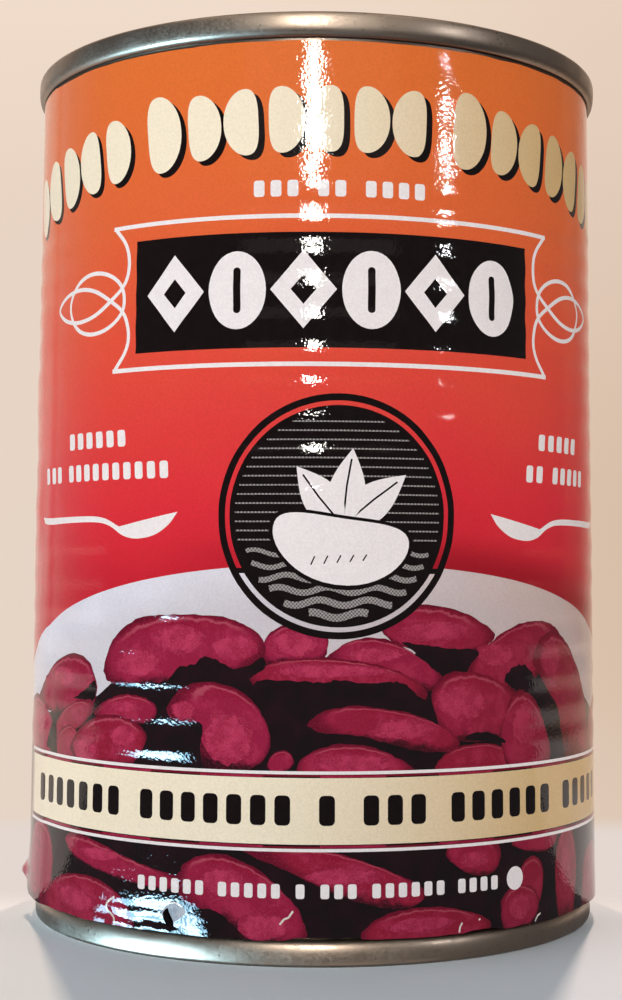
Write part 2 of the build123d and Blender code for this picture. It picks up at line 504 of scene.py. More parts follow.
def make_inks(label):
    """Every ink of the label, in the order of INKS."""
    made = {
        "ground": make_ground_ink(label),
        "bowl": make_bowl_ink(label),
        "bean": make_bean_ink(label),
        "shade": make_flat_ink("shade_ink", ink(22, 14, 17), ink(52, 16, 30), label, 0.35, 0.3),
        "worn": make_worn_ink(label),
        "white": make_flat_ink("white_ink", label.white, ink(214, 206, 210), label),
        "cream": make_cream_ink(label),
        "black": make_flat_ink("black_ink", label.black, ink(44, 34, 36), label),
        "screen": make_screen_ink(label),
        "red": make_flat_ink("line_ink", ink(112, 18, 38), ink(90, 14, 30), label),
        "paper": make_flat_ink("bare_paper", ink(226, 218, 212), ink(188, 176, 168), label, 2.0, 0.5,
                               relief=2.0, gloss=4.0),
        # the curled flap is drawn flat: its grey is painted shade
        "torn": make_flat_ink("curl_in_painted_shade", ink(122, 118, 124), ink(176, 170, 174), label, 0.8, 0.8,
                              relief=2.0, gloss=14.0),
        # painted shadow: the dark slit of the tear, which gives no reflection (set below)
        "gap": make_flat_ink("tear_painted_shadow", ink(14, 10, 12), ink(44, 34, 36), label, 0.8, 0.4, gloss=20.0),
    }
    made["gap"].node_tree.nodes["Principled BSDF"].inputs["Specular IOR Level"].default_value = 0.0
    return [made[name] for name in INKS]


# ---------------------------------------------------------------- geometry node trees

def geometry_tree(name, inputs):
    """An empty geometry tree with named inputs; returns it with its input and output nodes."""
    return node_group(name, "GeometryNodeTree",
                      [("Geometry", "NodeSocketGeometry", None)] + inputs,
                      [("Geometry", "NodeSocketGeometry")])


def finish_tree(tree, given, result, geometry):
    """Ends a tree as real mesh in its material."""
    real = add_node(tree, "GeometryNodeRealizeInstances")
    coat = add_node(tree, "GeometryNodeSetMaterial")
    put(tree, geometry, real.inputs["Geometry"])
    put(tree, real.outputs["Geometry"], coat.inputs["Geometry"])
    put(tree, given.outputs["Material"], coat.inputs["Material"])
    put(tree, coat.outputs["Geometry"], result.inputs["Geometry"])


def build_lathe_tree():
    """Turns a section, given as points in the X-Z plane, once round the Z axis."""
    tree, given, result = geometry_tree("Turn a section", [
        ("Segments", "NodeSocketInt", 64), ("Wobble", "NodeSocketFloat", 0.0),
        ("Waves", "NodeSocketFloat", 7.0), ("Material", "NodeSocketMaterial", None)])
    size = add_node(tree, "GeometryNodeAttributeDomainSize")
    put(tree, given.outputs["Geometry"], size.inputs["Geometry"])
    points = size.outputs["Point Count"]
    grid = add_node(tree, "GeometryNodeMeshGrid")
    columns = maths(tree, "ADD", given.outputs["Segments"], 1.0)
    put(tree, columns, grid.inputs["Vertices X"])
    put(tree, points, grid.inputs["Vertices Y"])
    index = add_node(tree, "GeometryNodeInputIndex").outputs[0]
    row = maths(tree, "FLOORED_MODULO", index, points)
    column = maths(tree, "FLOOR", maths(tree, "DIVIDE", maths(tree, "ADD", index, 0.5), points))
    sample = add_node(tree, "GeometryNodeSampleIndex", data_type="FLOAT_VECTOR", domain="POINT")
    put(tree, given.outputs["Geometry"], sample.inputs["Geometry"])
    put(tree, add_node(tree, "GeometryNodeInputPosition").outputs[0],
        next(s for s in sample.inputs if s.name == "Value" and s.type == "VECTOR"))
    put(tree, row, sample.inputs["Index"])
    place = split_xyz(tree, next(s for s in sample.outputs if s.type == "VECTOR"))
    angle = maths(tree, "MULTIPLY", maths(tree, "DIVIDE", column, given.outputs["Segments"]), 2 * math.pi)
    cosine, sine = maths(tree, "COSINE", angle), maths(tree, "SINE", angle)
    waves = given.outputs["Waves"]
    ring = join_xyz(tree, maths(tree, "MULTIPLY", cosine, waves), maths(tree, "MULTIPLY", sine, waves),
                    maths(tree, "MULTIPLY", place["Z"], 300.0))
    uneven = noise(tree, ring, 1.0, 2.0)
    push = maths(tree, "MULTIPLY", maths(tree, "SUBTRACT", uneven, 0.5), given.outputs["Wobble"])
    off_axis = maths(tree, "GREATER_THAN", place["X"], 0.001)
    radius = maths(tree, "ADD", place["X"], maths(tree, "MULTIPLY", push, off_axis))
    spot = join_xyz(tree, maths(tree, "MULTIPLY", radius, cosine), maths(tree, "MULTIPLY", radius, sine),
                    place["Z"])
    move = add_node(tree, "GeometryNodeSetPosition")
    put(tree, grid.outputs["Mesh"], move.inputs["Geometry"])
    put(tree, spot, move.inputs["Position"])
    weld = add_node(tree, "GeometryNodeMergeByDistance", Distance=1e-7)
    put(tree, move.outputs["Geometry"], weld.inputs["Geometry"])
    smooth = add_node(tree, "GeometryNodeSetShadeSmooth")
    put(tree, weld.outputs["Geometry"], smooth.inputs["Geometry"])
    finish_tree(tree, given, result, smooth.outputs["Geometry"])
    return tree


def build_row_tree():
    """Sets copies of a flat mark side by side on a straight or arched base line."""
    tree, given, result = geometry_tree("Row of marks", [
        ("Count", "NodeSocketInt", 1), ("Start", "NodeSocketFloat", 0.0),
        ("Pitch", "NodeSocketFloat", 1.0), ("Base", "NodeSocketFloat", 0.0),
        ("Arch", "NodeSocketFloat", 10000.0), ("Turned", "NodeSocketFloat", 0.0),
        ("Material", "NodeSocketMaterial", None)])
    line = add_node(tree, "GeometryNodeMeshLine")
    put(tree, given.outputs["Count"], line.inputs["Count"])
    put(tree, join_xyz(tree, x=given.outputs["Start"]), line.inputs["Start Location"])
    put(tree, join_xyz(tree, x=given.outputs["Pitch"]), line.inputs["Offset"])
    across = split_xyz(tree, add_node(tree, "GeometryNodeInputPosition").outputs[0])["X"]
    arch = given.outputs["Arch"]
    drop = maths(tree, "DIVIDE", maths(tree, "MULTIPLY", across, across),
                 maths(tree, "MULTIPLY", arch, -2.0))
    move = add_node(tree, "GeometryNodeSetPosition")
    put(tree, line.outputs["Mesh"], move.inputs["Geometry"])
    put(tree, join_xyz(tree, across, maths(tree, "ADD", given.outputs["Base"], drop)),
        move.inputs["Position"])
    index = add_node(tree, "GeometryNodeInputIndex").outputs[0]
    odd = maths(tree, "MULTIPLY", maths(tree, "FLOORED_MODULO", index, 2.0), given.outputs["Turned"])
    lean = maths(tree, "DIVIDE", across, maths(tree, "MULTIPLY", arch, -1.0))
    copies = add_node(tree, "GeometryNodeInstanceOnPoints")
    put(tree, move.outputs["Geometry"], copies.inputs["Points"])
    put(tree, given.outputs["Geometry"], copies.inputs["Instance"])
    put(tree, join_xyz(tree, z=maths(tree, "MULTIPLY_ADD", odd, math.pi, lean)), copies.inputs["Rotation"])
    finish_tree(tree, given, result, copies.outputs["Instances"])


def run_tree(name, mesh, tree, **values):
    """Runs a geometry tree on a mesh and returns the finished plain mesh."""
    holder = bpy.data.objects.new(name, mesh)
    bpy.context.scene.collection.objects.link(holder)
    modifier = holder.modifiers.new(tree.name, "NODES")
    modifier.node_group = tree
    for item in tree.interface.items_tree:
        if item.in_out == "INPUT" and item.name in values:
            modifier[item.identifier] = values[item.name]
    view = bpy.context.evaluated_depsgraph_get()
    made = bpy.data.meshes.new_from_object(holder.evaluated_get(view), depsgraph=view)
    bpy.data.objects.remove(holder)
    bpy.data.meshes.remove(mesh)
    made.name = name
    return made


def add_piece(name, mesh, slot, *replaced):
    """Links a finished mesh as a piece that rides on the tin and stands for CAD nodes."""
    piece = bpy.data.objects.new(name, mesh)
    bpy.context.scene.collection.objects.link(piece)
    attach(piece, "root")
    if replaced:
        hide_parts(*replaced)
    return piece


# ---------------------------------------------------------------- metal

def arc(centre, radius, start, end, steps):
    """Points of an arc; angles in degrees."""
    angles = np.radians(np.linspace(start, end, steps + 1))
    return [(centre[0] + radius * math.cos(a), centre[1] + radius * math.sin(a)) for a in angles]


def soften(corners, radius, steps=5):
    """Rounds each inner corner of a path by an arc of about this radius."""
    path = [corners[0]]
    for before, here, after in zip(corners, corners[1:], corners[2:]):
        a, b, c = Vector(before), Vector(here), Vector(after)
        into, out = (a - b).normalized(), (c - b).normalized()
        half = into.angle(out) / 2
        reach = min(radius / math.tan(half), (a - b).length * 0.45, (c - b).length * 0.45)
        for step in range(steps + 1):
            t = step / steps
            path.append(tuple((b + into * reach) * (1 - t) ** 2 + b * (2 * t * (1 - t))
                              + (b + out * reach) * t ** 2))
    path.append(corners[-1])
    return path


def end_section(rim_radius, settings):
    """Half section of an end with its rim, crest at height 0 and the tin below it."""
    tall, wide = settings.seam_height / MM, settings.seam_width / MM
    panel, groove = -settings.panel_depth / MM, -settings.groove_depth / MM
    sheet = 0.22                # the steel's thickness
    inner = rim_radius - wide
    shown = soften([(0, panel), (15.0, panel), (15.6, panel - 0.25), (16.6, panel - 0.25), (17.2, panel),
                    (inner - 12.6, panel), (inner - 12.0, panel - 0.45), (inner - 7.6, panel - 0.45),
                    (inner - 7.0, panel), (inner - 2.0, panel), (inner - 1.75, groove),
                    (inner - 0.25, groove), (inner, -0.62)], 0.4)
    crest = arc((inner + 0.48, -0.48), 0.48, 180, 90, 8) + arc((rim_radius - 0.55, -0.52), 0.52, 90, 8, 8)
    face = [(rim_radius - 0.005, -0.75), (rim_radius, -1.2), (rim_radius - 0.015, -1.65),
            (rim_radius - 0.06, -2.05), (rim_radius - 0.14, -2.40), (rim_radius - 0.26, -2.68),
            (rim_radius - 0.42, -2.87), (rim_radius - 0.62, -tall), (rim_radius - 0.80, -tall + 0.02)]
    hidden = [(rim_radius - 0.97, -tall + 0.08), (inner + sheet, -tall),
              (inner - 0.25 + sheet, groove - sheet), (inner - 1.75 - sheet, groove - sheet),
              (inner - 2.0 - sheet, panel - sheet), (0, panel - sheet)]
    return shown + crest[1:] + face + hidden


def section_mesh(points):
    """A section's points, in millimetres, as a bare mesh in the X-Z plane, in metres."""
    mesh = bpy.data.meshes.new("section")
    mesh.from_pydata([(r * MM, 0, z * MM) for r, z in points],
                     [(i, i + 1) for i in range(len(points) - 1)], [])
    return mesh


class TIN_OT_rims(bpy.types.Operator):
    """Make the two pressed ends with their rolled rims"""
    bl_idname = "tin.rims"
    bl_label = "Rims and ends"

    def execute(self, context):
        settings = context.scene.tin_metal
        tree = build_lathe_tree()
        steel = make_tinplate("end_tinplate", settings)
        top = [(r, TIN_HEIGHT + z) for r, z in end_section(TOP_RIM_RADIUS, settings)]
        bottom = [(r, -z) for r, z in end_section(BOTTOM_RIM_RADIUS, settings)]
        for name, node, points in (("top_rim_and_panel", "top_end", top[::-1]),
                                   ("bottom_rim_and_panel", "bottom_end", bottom)):
            mesh = run_tree(name, section_mesh(points), tree, Segments=settings.segments,
                            Wobble=settings.wobble, Material=steel)
            add_piece(name, mesh, "end_steel", node)
        return {"FINISHED"}


class TIN_OT_wall(bpy.types.Operator):
    """Give the ribbed wall its tinplate"""
    bl_idname = "tin.wall"
    bl_label = "Wall"

    def execute(self, context):
        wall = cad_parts["can_body"]
        wall.data.materials.clear()
        # painted shade: the wall's steel is half as bright as the ends', for the slivers that show in the
        # gaps by the label
        wall.data.materials.append(make_tinplate("wall_tinplate_painted_shade", context.scene.tin_metal, 0.5))
        return {"FINISHED"}


# ---------------------------------------------------------------- the flat print

# one patch of the print: its points from first to end, its ink's number and its tint
Area = namedtuple("Area", "first end ink tint")


class Print:
    """A flat drawing in millimetres: x runs round the tin from its front line, y is the height."""

    def __init__(self):
        self.points = []
        self.areas = []
        self.marks = []         # each point's place within its own mark

    def area(self, ink_name, outline, marks=None, tint=0.0):
        """Lays one patch of ink over what is there; outlines are kept anticlockwise."""
        first = len(self.points)
        marks = marks or [(0.0, 0.0)] * len(outline)
        if sum(a[0] * b[1] - b[0] * a[1] for a, b in zip(outline, outline[1:] + outline[:1])) < 0:
            outline, marks = outline[::-1], marks[::-1]
        self.points += [(float(x), float(y)) for x, y in outline]
        self.marks += marks
        self.areas.append(Area(first, len(self.points), INKS.index(ink_name), tint))

    def stroke(self, ink_name, path, width):
        """A line of even width along a path, as one patch for each short piece."""
        spine = np.array(path, float)
        way = np.gradient(spine, axis=0)
        way /= np.linalg.norm(way, axis=1)[:, None]
        side = np.stack([-way[:, 1], way[:, 0]], 1) * width / 2
        left, right = spine + side, spine - side
        for i in range(len(spine) - 1):
            self.area(ink_name, [tuple(right[i]), tuple(right[i + 1]), tuple(left[i + 1]), tuple(left[i])])


def oval(middle, half_width, half_height, count=48):
    """A closed oval round its middle."""
    angles = np.radians(np.linspace(0, 360, count, endpoint=False))
    return [(middle[0] + half_width * math.cos(a), middle[1] + half_height * math.sin(a)) for a in angles]


def block(width, height, corner=0.3):
    """An upright block with rounded corners, standing on the origin."""
    corner = min(corner, width / 2.01, height / 2.01)
    points = []
    for x, y, start in ((width / 2, height, 0), (-width / 2, height, 90),
                        (-width / 2, 0, 180), (width / 2, 0, 270)):
        cx = x - math.copysign(corner, x)
        cy = y - corner if y else corner
        points += arc((cx, cy), corner, start, start + 90, 3)
    return points


def lozenge(width, height):
    """A lozenge standing on its lower corner at the origin."""
    return [(width / 2, height / 2), (0, height), (-width / 2, height / 2), (0, 0)]


def bean_shape(length, width, bend, count=44):
    """A kidney outline about the origin, hollow below."""
    points = []
    for angle in np.linspace(0, 2 * math.pi, count, endpoint=False):
        c, s = math.cos(angle), math.sin(angle)
        along = math.copysign(abs(c) ** 0.88, c)
        over = math.copysign(abs(s) ** 0.92, s)
        points.append((along * length / 2, over * width / 2 - bend * (along * along - 0.4)))
    return points


def turned(points, angle, move):
    """Points turned by an angle in degrees and then moved."""
    c, s = math.cos(math.radians(angle)), math.sin(math.radians(angle))
    return [(x * c - y * s + move[0], x * s + y * c + move[1]) for x, y in points]


def smooth_path(knots, steps=8):
    """A smooth line through the knots."""
    p = [np.array(k, float) for k in knots]
    p = [2 * p[0] - p[1]] + p + [2 * p[-1] - p[-2]]
    path = []
    for a, b, c, d in zip(p, p[1:], p[2:], p[3:]):
        for step in range(steps):
            t = step / steps
            path.append(tuple(0.5 * (2 * b + (c - a) * t + (2 * a - 5 * b + 4 * c - d) * t * t
                                     + (3 * b - a - 3 * c + d) * t ** 3)))
    path.append(tuple(p[-2]))
    return path


def row(sheet, ink_name, outline, start, count, pitch, base, middle, arch=1e4, turned_marks=0.0,
        shift=(0, 0)):
    """Lays a row of equal marks; start is measured from the picture's middle."""
    mesh = bpy.data.meshes.new("mark")
    mesh.from_pydata([(x, y, 0) for x, y in outline], [], [tuple(range(len(outline)))])
    made = run_tree("marks", mesh, bpy.data.node_groups["Row of marks"], Count=count,
                    Start=float(start), Pitch=float(pitch), Base=float(base), Arch=float(arch),
                    Turned=float(turned_marks))
    for face in made.polygons:
        corners = [made.vertices[i].co for i in face.vertices]
        sheet.area(ink_name, [(v.x + middle + shift[0], v.y + shift[1]) for v in corners])
    bpy.data.meshes.remove(made)


def words(sheet, ink_name, start, end, base, height, counts, middle):
    """A line of small blocks in groups between two ends."""
    space = 0.8                 # the gap between two groups, in blocks
    pitch = (end - start) / (sum(counts) + space * (len(counts) - 1))
    outline = block(pitch * 0.64, height, height * 0.16)
    at = start + pitch / 2
    for count in counts:
        row(sheet, ink_name, outline, at, count, pitch, base, middle)
        at += pitch * (count + space)


# the painted beans as closed outlines, measured from the tin's front line; the farthest are laid first
UPPER_BEANS = (
    ((-5.9, 35.0), (-5.2, 37.2), (-3.2, 38.2), (0.0, 38.2), (1.5, 37.0), (1.5, 35.4), (0.5, 34.2),
     (-4.8, 33.6)),
    ((7.7, 37.6), (8.4, 39.6), (12.6, 40.6), (17.0, 40.0), (20.5, 38.6), (22.7, 37.0), (21.0, 35.6),
     (18.0, 34.8), (13.0, 35.2), (9.4, 36.2)),
    ((1.2, 34.0), (3.2, 36.0), (6.4, 36.9), (9.6, 36.2), (12.4, 34.5), (15.2, 32.3), (14.2, 31.0),
     (12.6, 30.8), (9.0, 32.8), (4.0, 33.2)),
    ((-62.0, 22.0), (-61.0, 25.5), (-57.0, 27.4), (-53.0, 26.0), (-51.0, 23.0), (-54.0, 20.6)),
    ((-44.6, 28.0), (-41.5, 31.0), (-38.0, 33.2), (-34.0, 34.2), (-30.8, 33.6), (-28.9, 31.6),
     (-28.8, 29.4), (-29.8, 27.8), (-34.0, 27.2), (-40.0, 26.8)),
    ((-52.0, 22.0), (-51.0, 25.5), (-48.0, 28.2), (-44.0, 28.5), (-40.6, 26.6), (-38.6, 24.4),
     (-40.0, 21.8), (-45.0, 21.0)),
    ((-39.0, 24.6), (-36.4, 27.0), (-33.0, 28.5), (-30.4, 28.9), (-29.2, 27.8), (-31.5, 25.8),
     (-35.0, 24.0), (-38.0, 23.4)),
    ((-27.4, 32.4), (-26.8, 34.8), (-24.6, 37.3), (-21.0, 39.0), (-16.0, 39.3), (-10.5, 39.1),
     (-7.2, 37.8), (-5.5, 35.9), (-6.4, 34.0), (-10.0, 32.8), (-14.0, 31.8), (-19.0, 31.0),
     (-24.0, 31.0), (-26.6, 31.2)),
    ((-7.5, 32.2), (-5.2, 33.8), (-1.0, 34.5), (3.5, 34.4), (8.0, 33.6), (11.5, 32.2), (13.3, 30.6),
     (12.6, 29.6), (9.0, 30.2), (4.0, 30.4), (-2.0, 30.6), (-6.0, 31.0)),
    ((18.5, 32.4), (20.8, 35.2), (24.4, 37.4), (29.0, 38.6), (33.0, 38.1), (35.2, 36.4), (32.0, 33.6),
     (29.0, 31.4), (26.0, 29.8), (21.5, 30.2)),
    ((44.4, 21.5), (45.0, 25.0), (47.5, 27.6), (52.0, 28.4), (56.0, 26.4), (58.0, 22.0), (54.0, 20.4)),
    ((29.2, 33.4), (30.2, 36.0), (32.0, 37.0), (34.8, 36.9), (38.6, 34.4), (42.0, 30.6), (44.3, 27.0),
     (45.2, 22.0), (42.0, 20.0), (36.0, 20.6), (34.6, 24.0), (33.6, 28.6), (31.4, 31.0)),
    ((13.9, 29.4), (14.4, 31.6), (16.4, 32.8), (20.4, 32.6), (24.0, 31.2), (26.2, 29.6), (25.6, 27.2),
     (23.6, 25.2), (19.0, 24.8), (15.6, 25.6)),
    ((-17.6, 28.6), (-15.8, 30.8), (-12.8, 31.7), (-9.4, 31.2), (-6.8, 29.4), (-5.2, 26.8),
     (-5.0, 24.2), (-6.8, 22.2), (-10.6, 21.2), (-12.8, 22.2), (-13.2, 24.6), (-12.9, 26.4),
     (-13.6, 27.1), (-15.6, 27.0), (-17.2, 27.5)),
    ((-0.7, 26.9), (0.8, 28.4), (4.5, 29.2), (8.0, 28.8), (11.5, 28.2), (14.4, 27.0), (17.2, 25.3),
     (17.0, 24.0), (14.0, 23.8), (10.8, 24.3), (7.6, 25.2), (4.4, 25.9), (1.0, 26.1)),
    ((-5.2, 22.4), (-4.6, 23.7), (-3.2, 24.1), (-2.2, 23.2), (-2.8, 22.0), (-4.4, 21.4)),
    ((14.4, 22.2), (16.5, 24.0), (20.0, 24.5), (23.6, 24.0), (26.2, 22.4), (25.0, 20.8), (15.0, 20.8)),
    ((-1.9, 22.0), (-0.4, 23.9), (2.6, 24.9), (6.4, 24.6), (9.4, 23.4), (11.7, 21.8), (9.0, 20.4),
     (0.0, 20.4)),
    ((24.3, 28.0), (25.4, 29.8), (27.4, 30.3), (29.4, 29.3), (31.0, 27.0), (32.2, 24.4), (33.2, 21.6),
     (30.0, 20.4), (25.6, 20.6), (24.0, 23.0), (23.5, 25.6)),
    ((-38.6, 21.8), (-37.2, 24.4), (-34.8, 25.5), (-32.6, 24.8), (-33.0, 22.2), (-36.0, 20.8)),
    ((-29.2, 27.2), (-27.0, 28.9), (-24.0, 29.8), (-21.0, 29.6), (-19.1, 28.6), (-19.4, 27.2),
     (-22.0, 26.4), (-26.0, 26.2)),
    ((-34.1, 22.4), (-33.0, 24.4), (-30.6, 26.2), (-27.0, 27.3), (-23.4, 27.1), (-20.9, 25.9),
     (-20.5, 24.2), (-22.0, 22.4), (-24.0, 21.2), (-30.0, 20.8)),
)
LOWER_BEANS = (
    ((-57.0, 2.4), (-57.5, 7.0), (-55.0, 11.0), (-51.5, 12.0), (-49.6, 9.0), (-50.0, 4.0), (-52.0, 2.0)),
    ((-48.5, 4.0), (-48.8, 9.0), (-46.0, 12.6), (-42.0, 13.4), (-39.2, 11.5), (-38.4, 8.0),
     (-39.5, 4.5), (-43.0, 2.4)),
    ((-35.0, 11.6), (-33.4, 12.9), (-30.0, 12.7), (-25.5, 11.7), (-20.5, 10.4), (-16.0, 9.6),
     (-15.0, 8.6), (-17.5, 8.0), (-22.5, 8.3), (-28.0, 9.1), (-33.0, 10.2)),
    ((-8.0, 12.8), (-3.0, 13.8), (2.0, 13.0), (6.5, 11.6), (10.6, 9.9), (13.1, 8.3), (12.2, 6.9),
     (9.2, 6.5), (5.0, 7.4), (0.5, 9.2), (-3.0, 10.8)),
    ((15.6, 12.4), (17.0, 10.8), (19.5, 9.6), (22.0, 9.6), (23.3, 11.0), (22.8, 13.0), (19.0, 14.0),
     (16.4, 13.6)),
    ((25.2, 12.6), (28.0, 11.6), (31.4, 11.2), (33.6, 11.9), (33.6, 13.4), (26.0, 14.0)),
    ((-41.8, 2.6), (-39.2, 5.8), (-35.5, 7.6), (-31.0, 8.3), (-27.0, 7.8), (-24.2, 6.6), (-22.6, 4.8),
     (-22.8, 2.0), (-32.0, 1.0)),
    ((-16.1, 8.4), (-15.6, 10.6), (-13.0, 12.1), (-9.8, 12.3), (-6.2, 10.8), (-3.2, 8.4), (-1.2, 5.8),
     (-0.7, 3.0), (-3.0, 1.4), (-7.0, 2.0), (-8.8, 4.4), (-11.0, 6.0), (-13.4, 6.3), (-15.3, 7.0)),
    ((5.4, 3.2), (7.0, 5.3), (10.5, 6.4), (15.0, 6.4), (18.6, 5.6), (21.2, 4.6), (21.6, 3.0),
     (18.0, 1.4), (8.0, 1.4)),
    ((26.2, 8.4), (27.4, 10.4), (29.4, 10.8), (30.8, 9.2), (30.6, 6.4), (29.0, 4.6), (27.0, 5.6)),
    ((23.4, 6.2), (25.4, 7.8), (28.0, 7.6), (29.9, 6.2), (29.6, 4.2), (27.6, 2.8), (25.0, 2.4),
     (23.6, 3.8)),
    ((33.5, 8.0), (34.0, 11.5), (35.8, 13.6), (38.0, 13.2), (39.3, 10.0), (39.1, 6.0), (38.0, 2.8),
     (35.2, 2.2), (33.9, 4.6)),
    ((42.4, 2.4), (41.6, 6.0), (43.0, 9.4), (46.5, 10.6), (50.0, 9.0), (51.5, 5.5), (49.5, 2.2)),
    ((52.4, 9.6), (54.0, 12.6), (58.0, 13.0), (60.5, 10.0), (59.0, 6.6), (55.0, 6.0)),
)
# shaded hollows and undersides, laid over the beans
UPPER_SHADE = (
    ((-20.4, 31.2), (-17.6, 31.6), (-16.2, 33.1), (-14.2, 33.7), (-12.8, 34.7), (-11.4, 34.2),
     (-9.6, 33.4), (-7.6, 33.5), (-6.0, 34.6), (-5.6, 33.4), (-7.4, 32.2), (-10.0, 31.6),
     (-13.0, 32.0), (-16.0, 31.0)),
    ((-6.4, 31.9), (-3.0, 32.0), (0.0, 31.8), (3.0, 32.0), (6.0, 31.7), (8.6, 31.9), (10.6, 31.5),
     (12.2, 30.2), (13.2, 29.4), (9.0, 29.9), (0.0, 30.0), (-7.4, 30.6)),
    ((10.2, 36.3), (13.0, 36.0), (16.4, 35.5), (19.8, 35.3), (18.4, 33.9), (16.4, 33.0), (14.4, 32.9),
     (12.6, 34.6)),
    ((24.1, 31.5), (25.2, 33.0), (27.4, 33.4), (28.7, 32.7), (29.6, 31.4), (31.6, 30.4), (33.4, 29.2),
     (34.7, 27.4), (35.6, 24.0), (36.4, 21.4), (33.0, 21.4), (32.6, 24.0), (31.2, 27.4), (29.8, 29.3),
     (28.0, 30.4), (26.0, 30.5)),
    ((18.2, 25.2), (20.4, 25.8), (23.4, 25.2), (24.0, 24.4), (21.0, 24.8)),
    ((-33.4, 28.8), (-31.4, 29.8), (-29.2, 31.2), (-29.0, 29.2), (-30.2, 28.9)),
    ((-41.2, 22.4), (-39.4, 25.5), (-38.2, 25.8), (-37.8, 24.0), (-38.2, 21.8)),
)
LOWER_SHADE = (
    ((-26.4, 13.2), (-20.0, 11.6), (-15.8, 10.2), (-16.0, 12.4), (-17.0, 13.6)),
)
# paler worn patches of the beans: middle x and y, half width and half height
UPPER_WORN = (
    (-9.8, 25.3, 3.0, 2.9), (-15.4, 28.4, 1.7, 1.1), (-30.9, 23.0, 2.6, 1.4), (-24.1, 25.0, 2.1, 1.2),
    (-22.0, 33.6, 3.4, 1.7), (-16.2, 36.4, 3.6, 1.6), (-9.3, 35.6, 2.6, 1.6), (2.0, 33.1, 6.6, 0.8),
    (-2.4, 36.2, 2.6, 1.4), (7.0, 34.9, 3.6, 0.9), (14.6, 37.6, 4.6, 1.2), (10.4, 26.4, 4.0, 1.2),
    (4.6, 22.6, 4.4, 1.2), (18.0, 29.4, 3.4, 2.2), (22.8, 34.6, 3.0, 1.4), (33.2, 34.0, 2.4, 2.2),
    (27.6, 26.4, 2.2, 2.6), (-24.0, 28.4, 2.4, 0.7), (-36.0, 31.4, 3.4, 1.2), (-45.0, 25.4, 3.4, 1.8),
)
LOWER_WORN = (
    (-5.6, 4.6, 3.0, 1.5), (-10.4, 9.2, 3.0, 1.7), (3.4, 10.2, 4.2, 1.0), (12.6, 4.5, 4.4, 0.9),
    (-32.6, 5.2, 4.2, 1.4), (-28.0, 10.9, 3.6, 0.7), (26.6, 5.3, 2.0, 1.5), (36.2, 8.4, 1.5, 3.0),
    (19.6, 11.4, 2.0, 1.0),
)


def closed_path(knots, steps=6):
    """A smooth closed line through the knots."""
    return smooth_path(knots[-1:] + knots + knots[:1], steps)[steps:-1]


def ragged(points, amount):
    """The same line with a brushed, uneven edge."""
    x, y = np.array(points).T
    x, y = (x + amount * soft_noise(x * 2.1, y * 2.1, 31) + 0.5 * amount * soft_noise(x * 5.3, y * 5.3, 33),
            y + amount * soft_noise(x * 2.1, y * 2.1, 32) + 0.5 * amount * soft_noise(x * 5.3, y * 5.3, 34))
    return list(zip(x.tolist(), y.tolist()))


def blot(x, y, wide, high, move):
    """An uneven oval patch."""
    angles = np.linspace(0, 2 * np.pi, 44, endpoint=False)
    c, s = np.cos(angles), np.sin(angles)
    swell = 1 + 0.18 * soft_noise(c * 2.2 + x, s * 2.2 + y, 35) + 0.09 * soft_noise(c * 6 + x, s * 6 + y, 36)
    return list(zip((x + move + wide * swell * c).tolist(), (y + high * swell * s).tolist()))


def own_places(outline):
    """Each outline point as a place on a unit circle, kept upright, for the shading of a bean."""
    points = np.array(outline)
    points = points - points.mean(axis=0)
    spread, ways = np.linalg.eigh(points.T @ points / len(points))
    places = points @ ways @ np.diag(1 / np.sqrt(2 * spread)) @ ways.T
    return [tuple(place) for place in places / np.linalg.norm(places, axis=1)[:, None]]


def draw_beans(sheet, beans, worn, shade, middle):
    """Beans from far to near, then their worn patches, then the dark under them."""
    move = middle - PICTURE_MIDDLE
    for number, knots in enumerate(beans):
        outline = ragged(closed_path(knots), 0.10)
        sheet.area("bean", [(x + move, y) for x, y in outline], own_places(outline), (number * 0.618) % 1.0)
    for x, y, wide, high in worn:
        patch = blot(x, y, wide, high, move)
        sheet.area("worn", patch, own_places(patch))
    for knots in shade:
        sheet.area("shade", [(x + move, y) for x, y in ragged(closed_path(knots, 8), 0.14)])


def draw_bowl(sheet, middle):
    """The bowl, the dark between its beans, and the beans, down to the label's edge."""
    low = LABEL_LOW - 1.0
    half = TURN / 4
    brim = [(x, BOWL_MIDDLE + BOWL_HALF_HEIGHT * math.sqrt(1 - (x / BOWL_HALF_WIDTH) ** 2))
            for x in np.linspace(half, -half, 70)]
    sheet.area("bowl", [(middle - half, low), (middle + half, low)] + [(middle + x, y) for x, y in brim])
    heap = [(56.0, 20.0), (48.0, 25.0), (40.0, 29.0), (30.0, 34.0), (18.0, 36.0), (11.0, 35.8),
            (8.0, 34.6), (0.0, 34.4), (-8.8, 36.0), (-20.0, 33.0), (-28.6, 31.2), (-31.4, 29.4),
            (-38.0, 28.0), (-46.0, 26.0), (-56.0, 22.0)]
    sheet.area("shade", [(middle - half, low), (middle + half, low)] + [(middle + x, y) for x, y in heap])
    draw_beans(sheet, UPPER_BEANS, UPPER_WORN, UPPER_SHADE, middle)
    draw_beans(sheet, LOWER_BEANS, LOWER_WORN, LOWER_SHADE, middle)


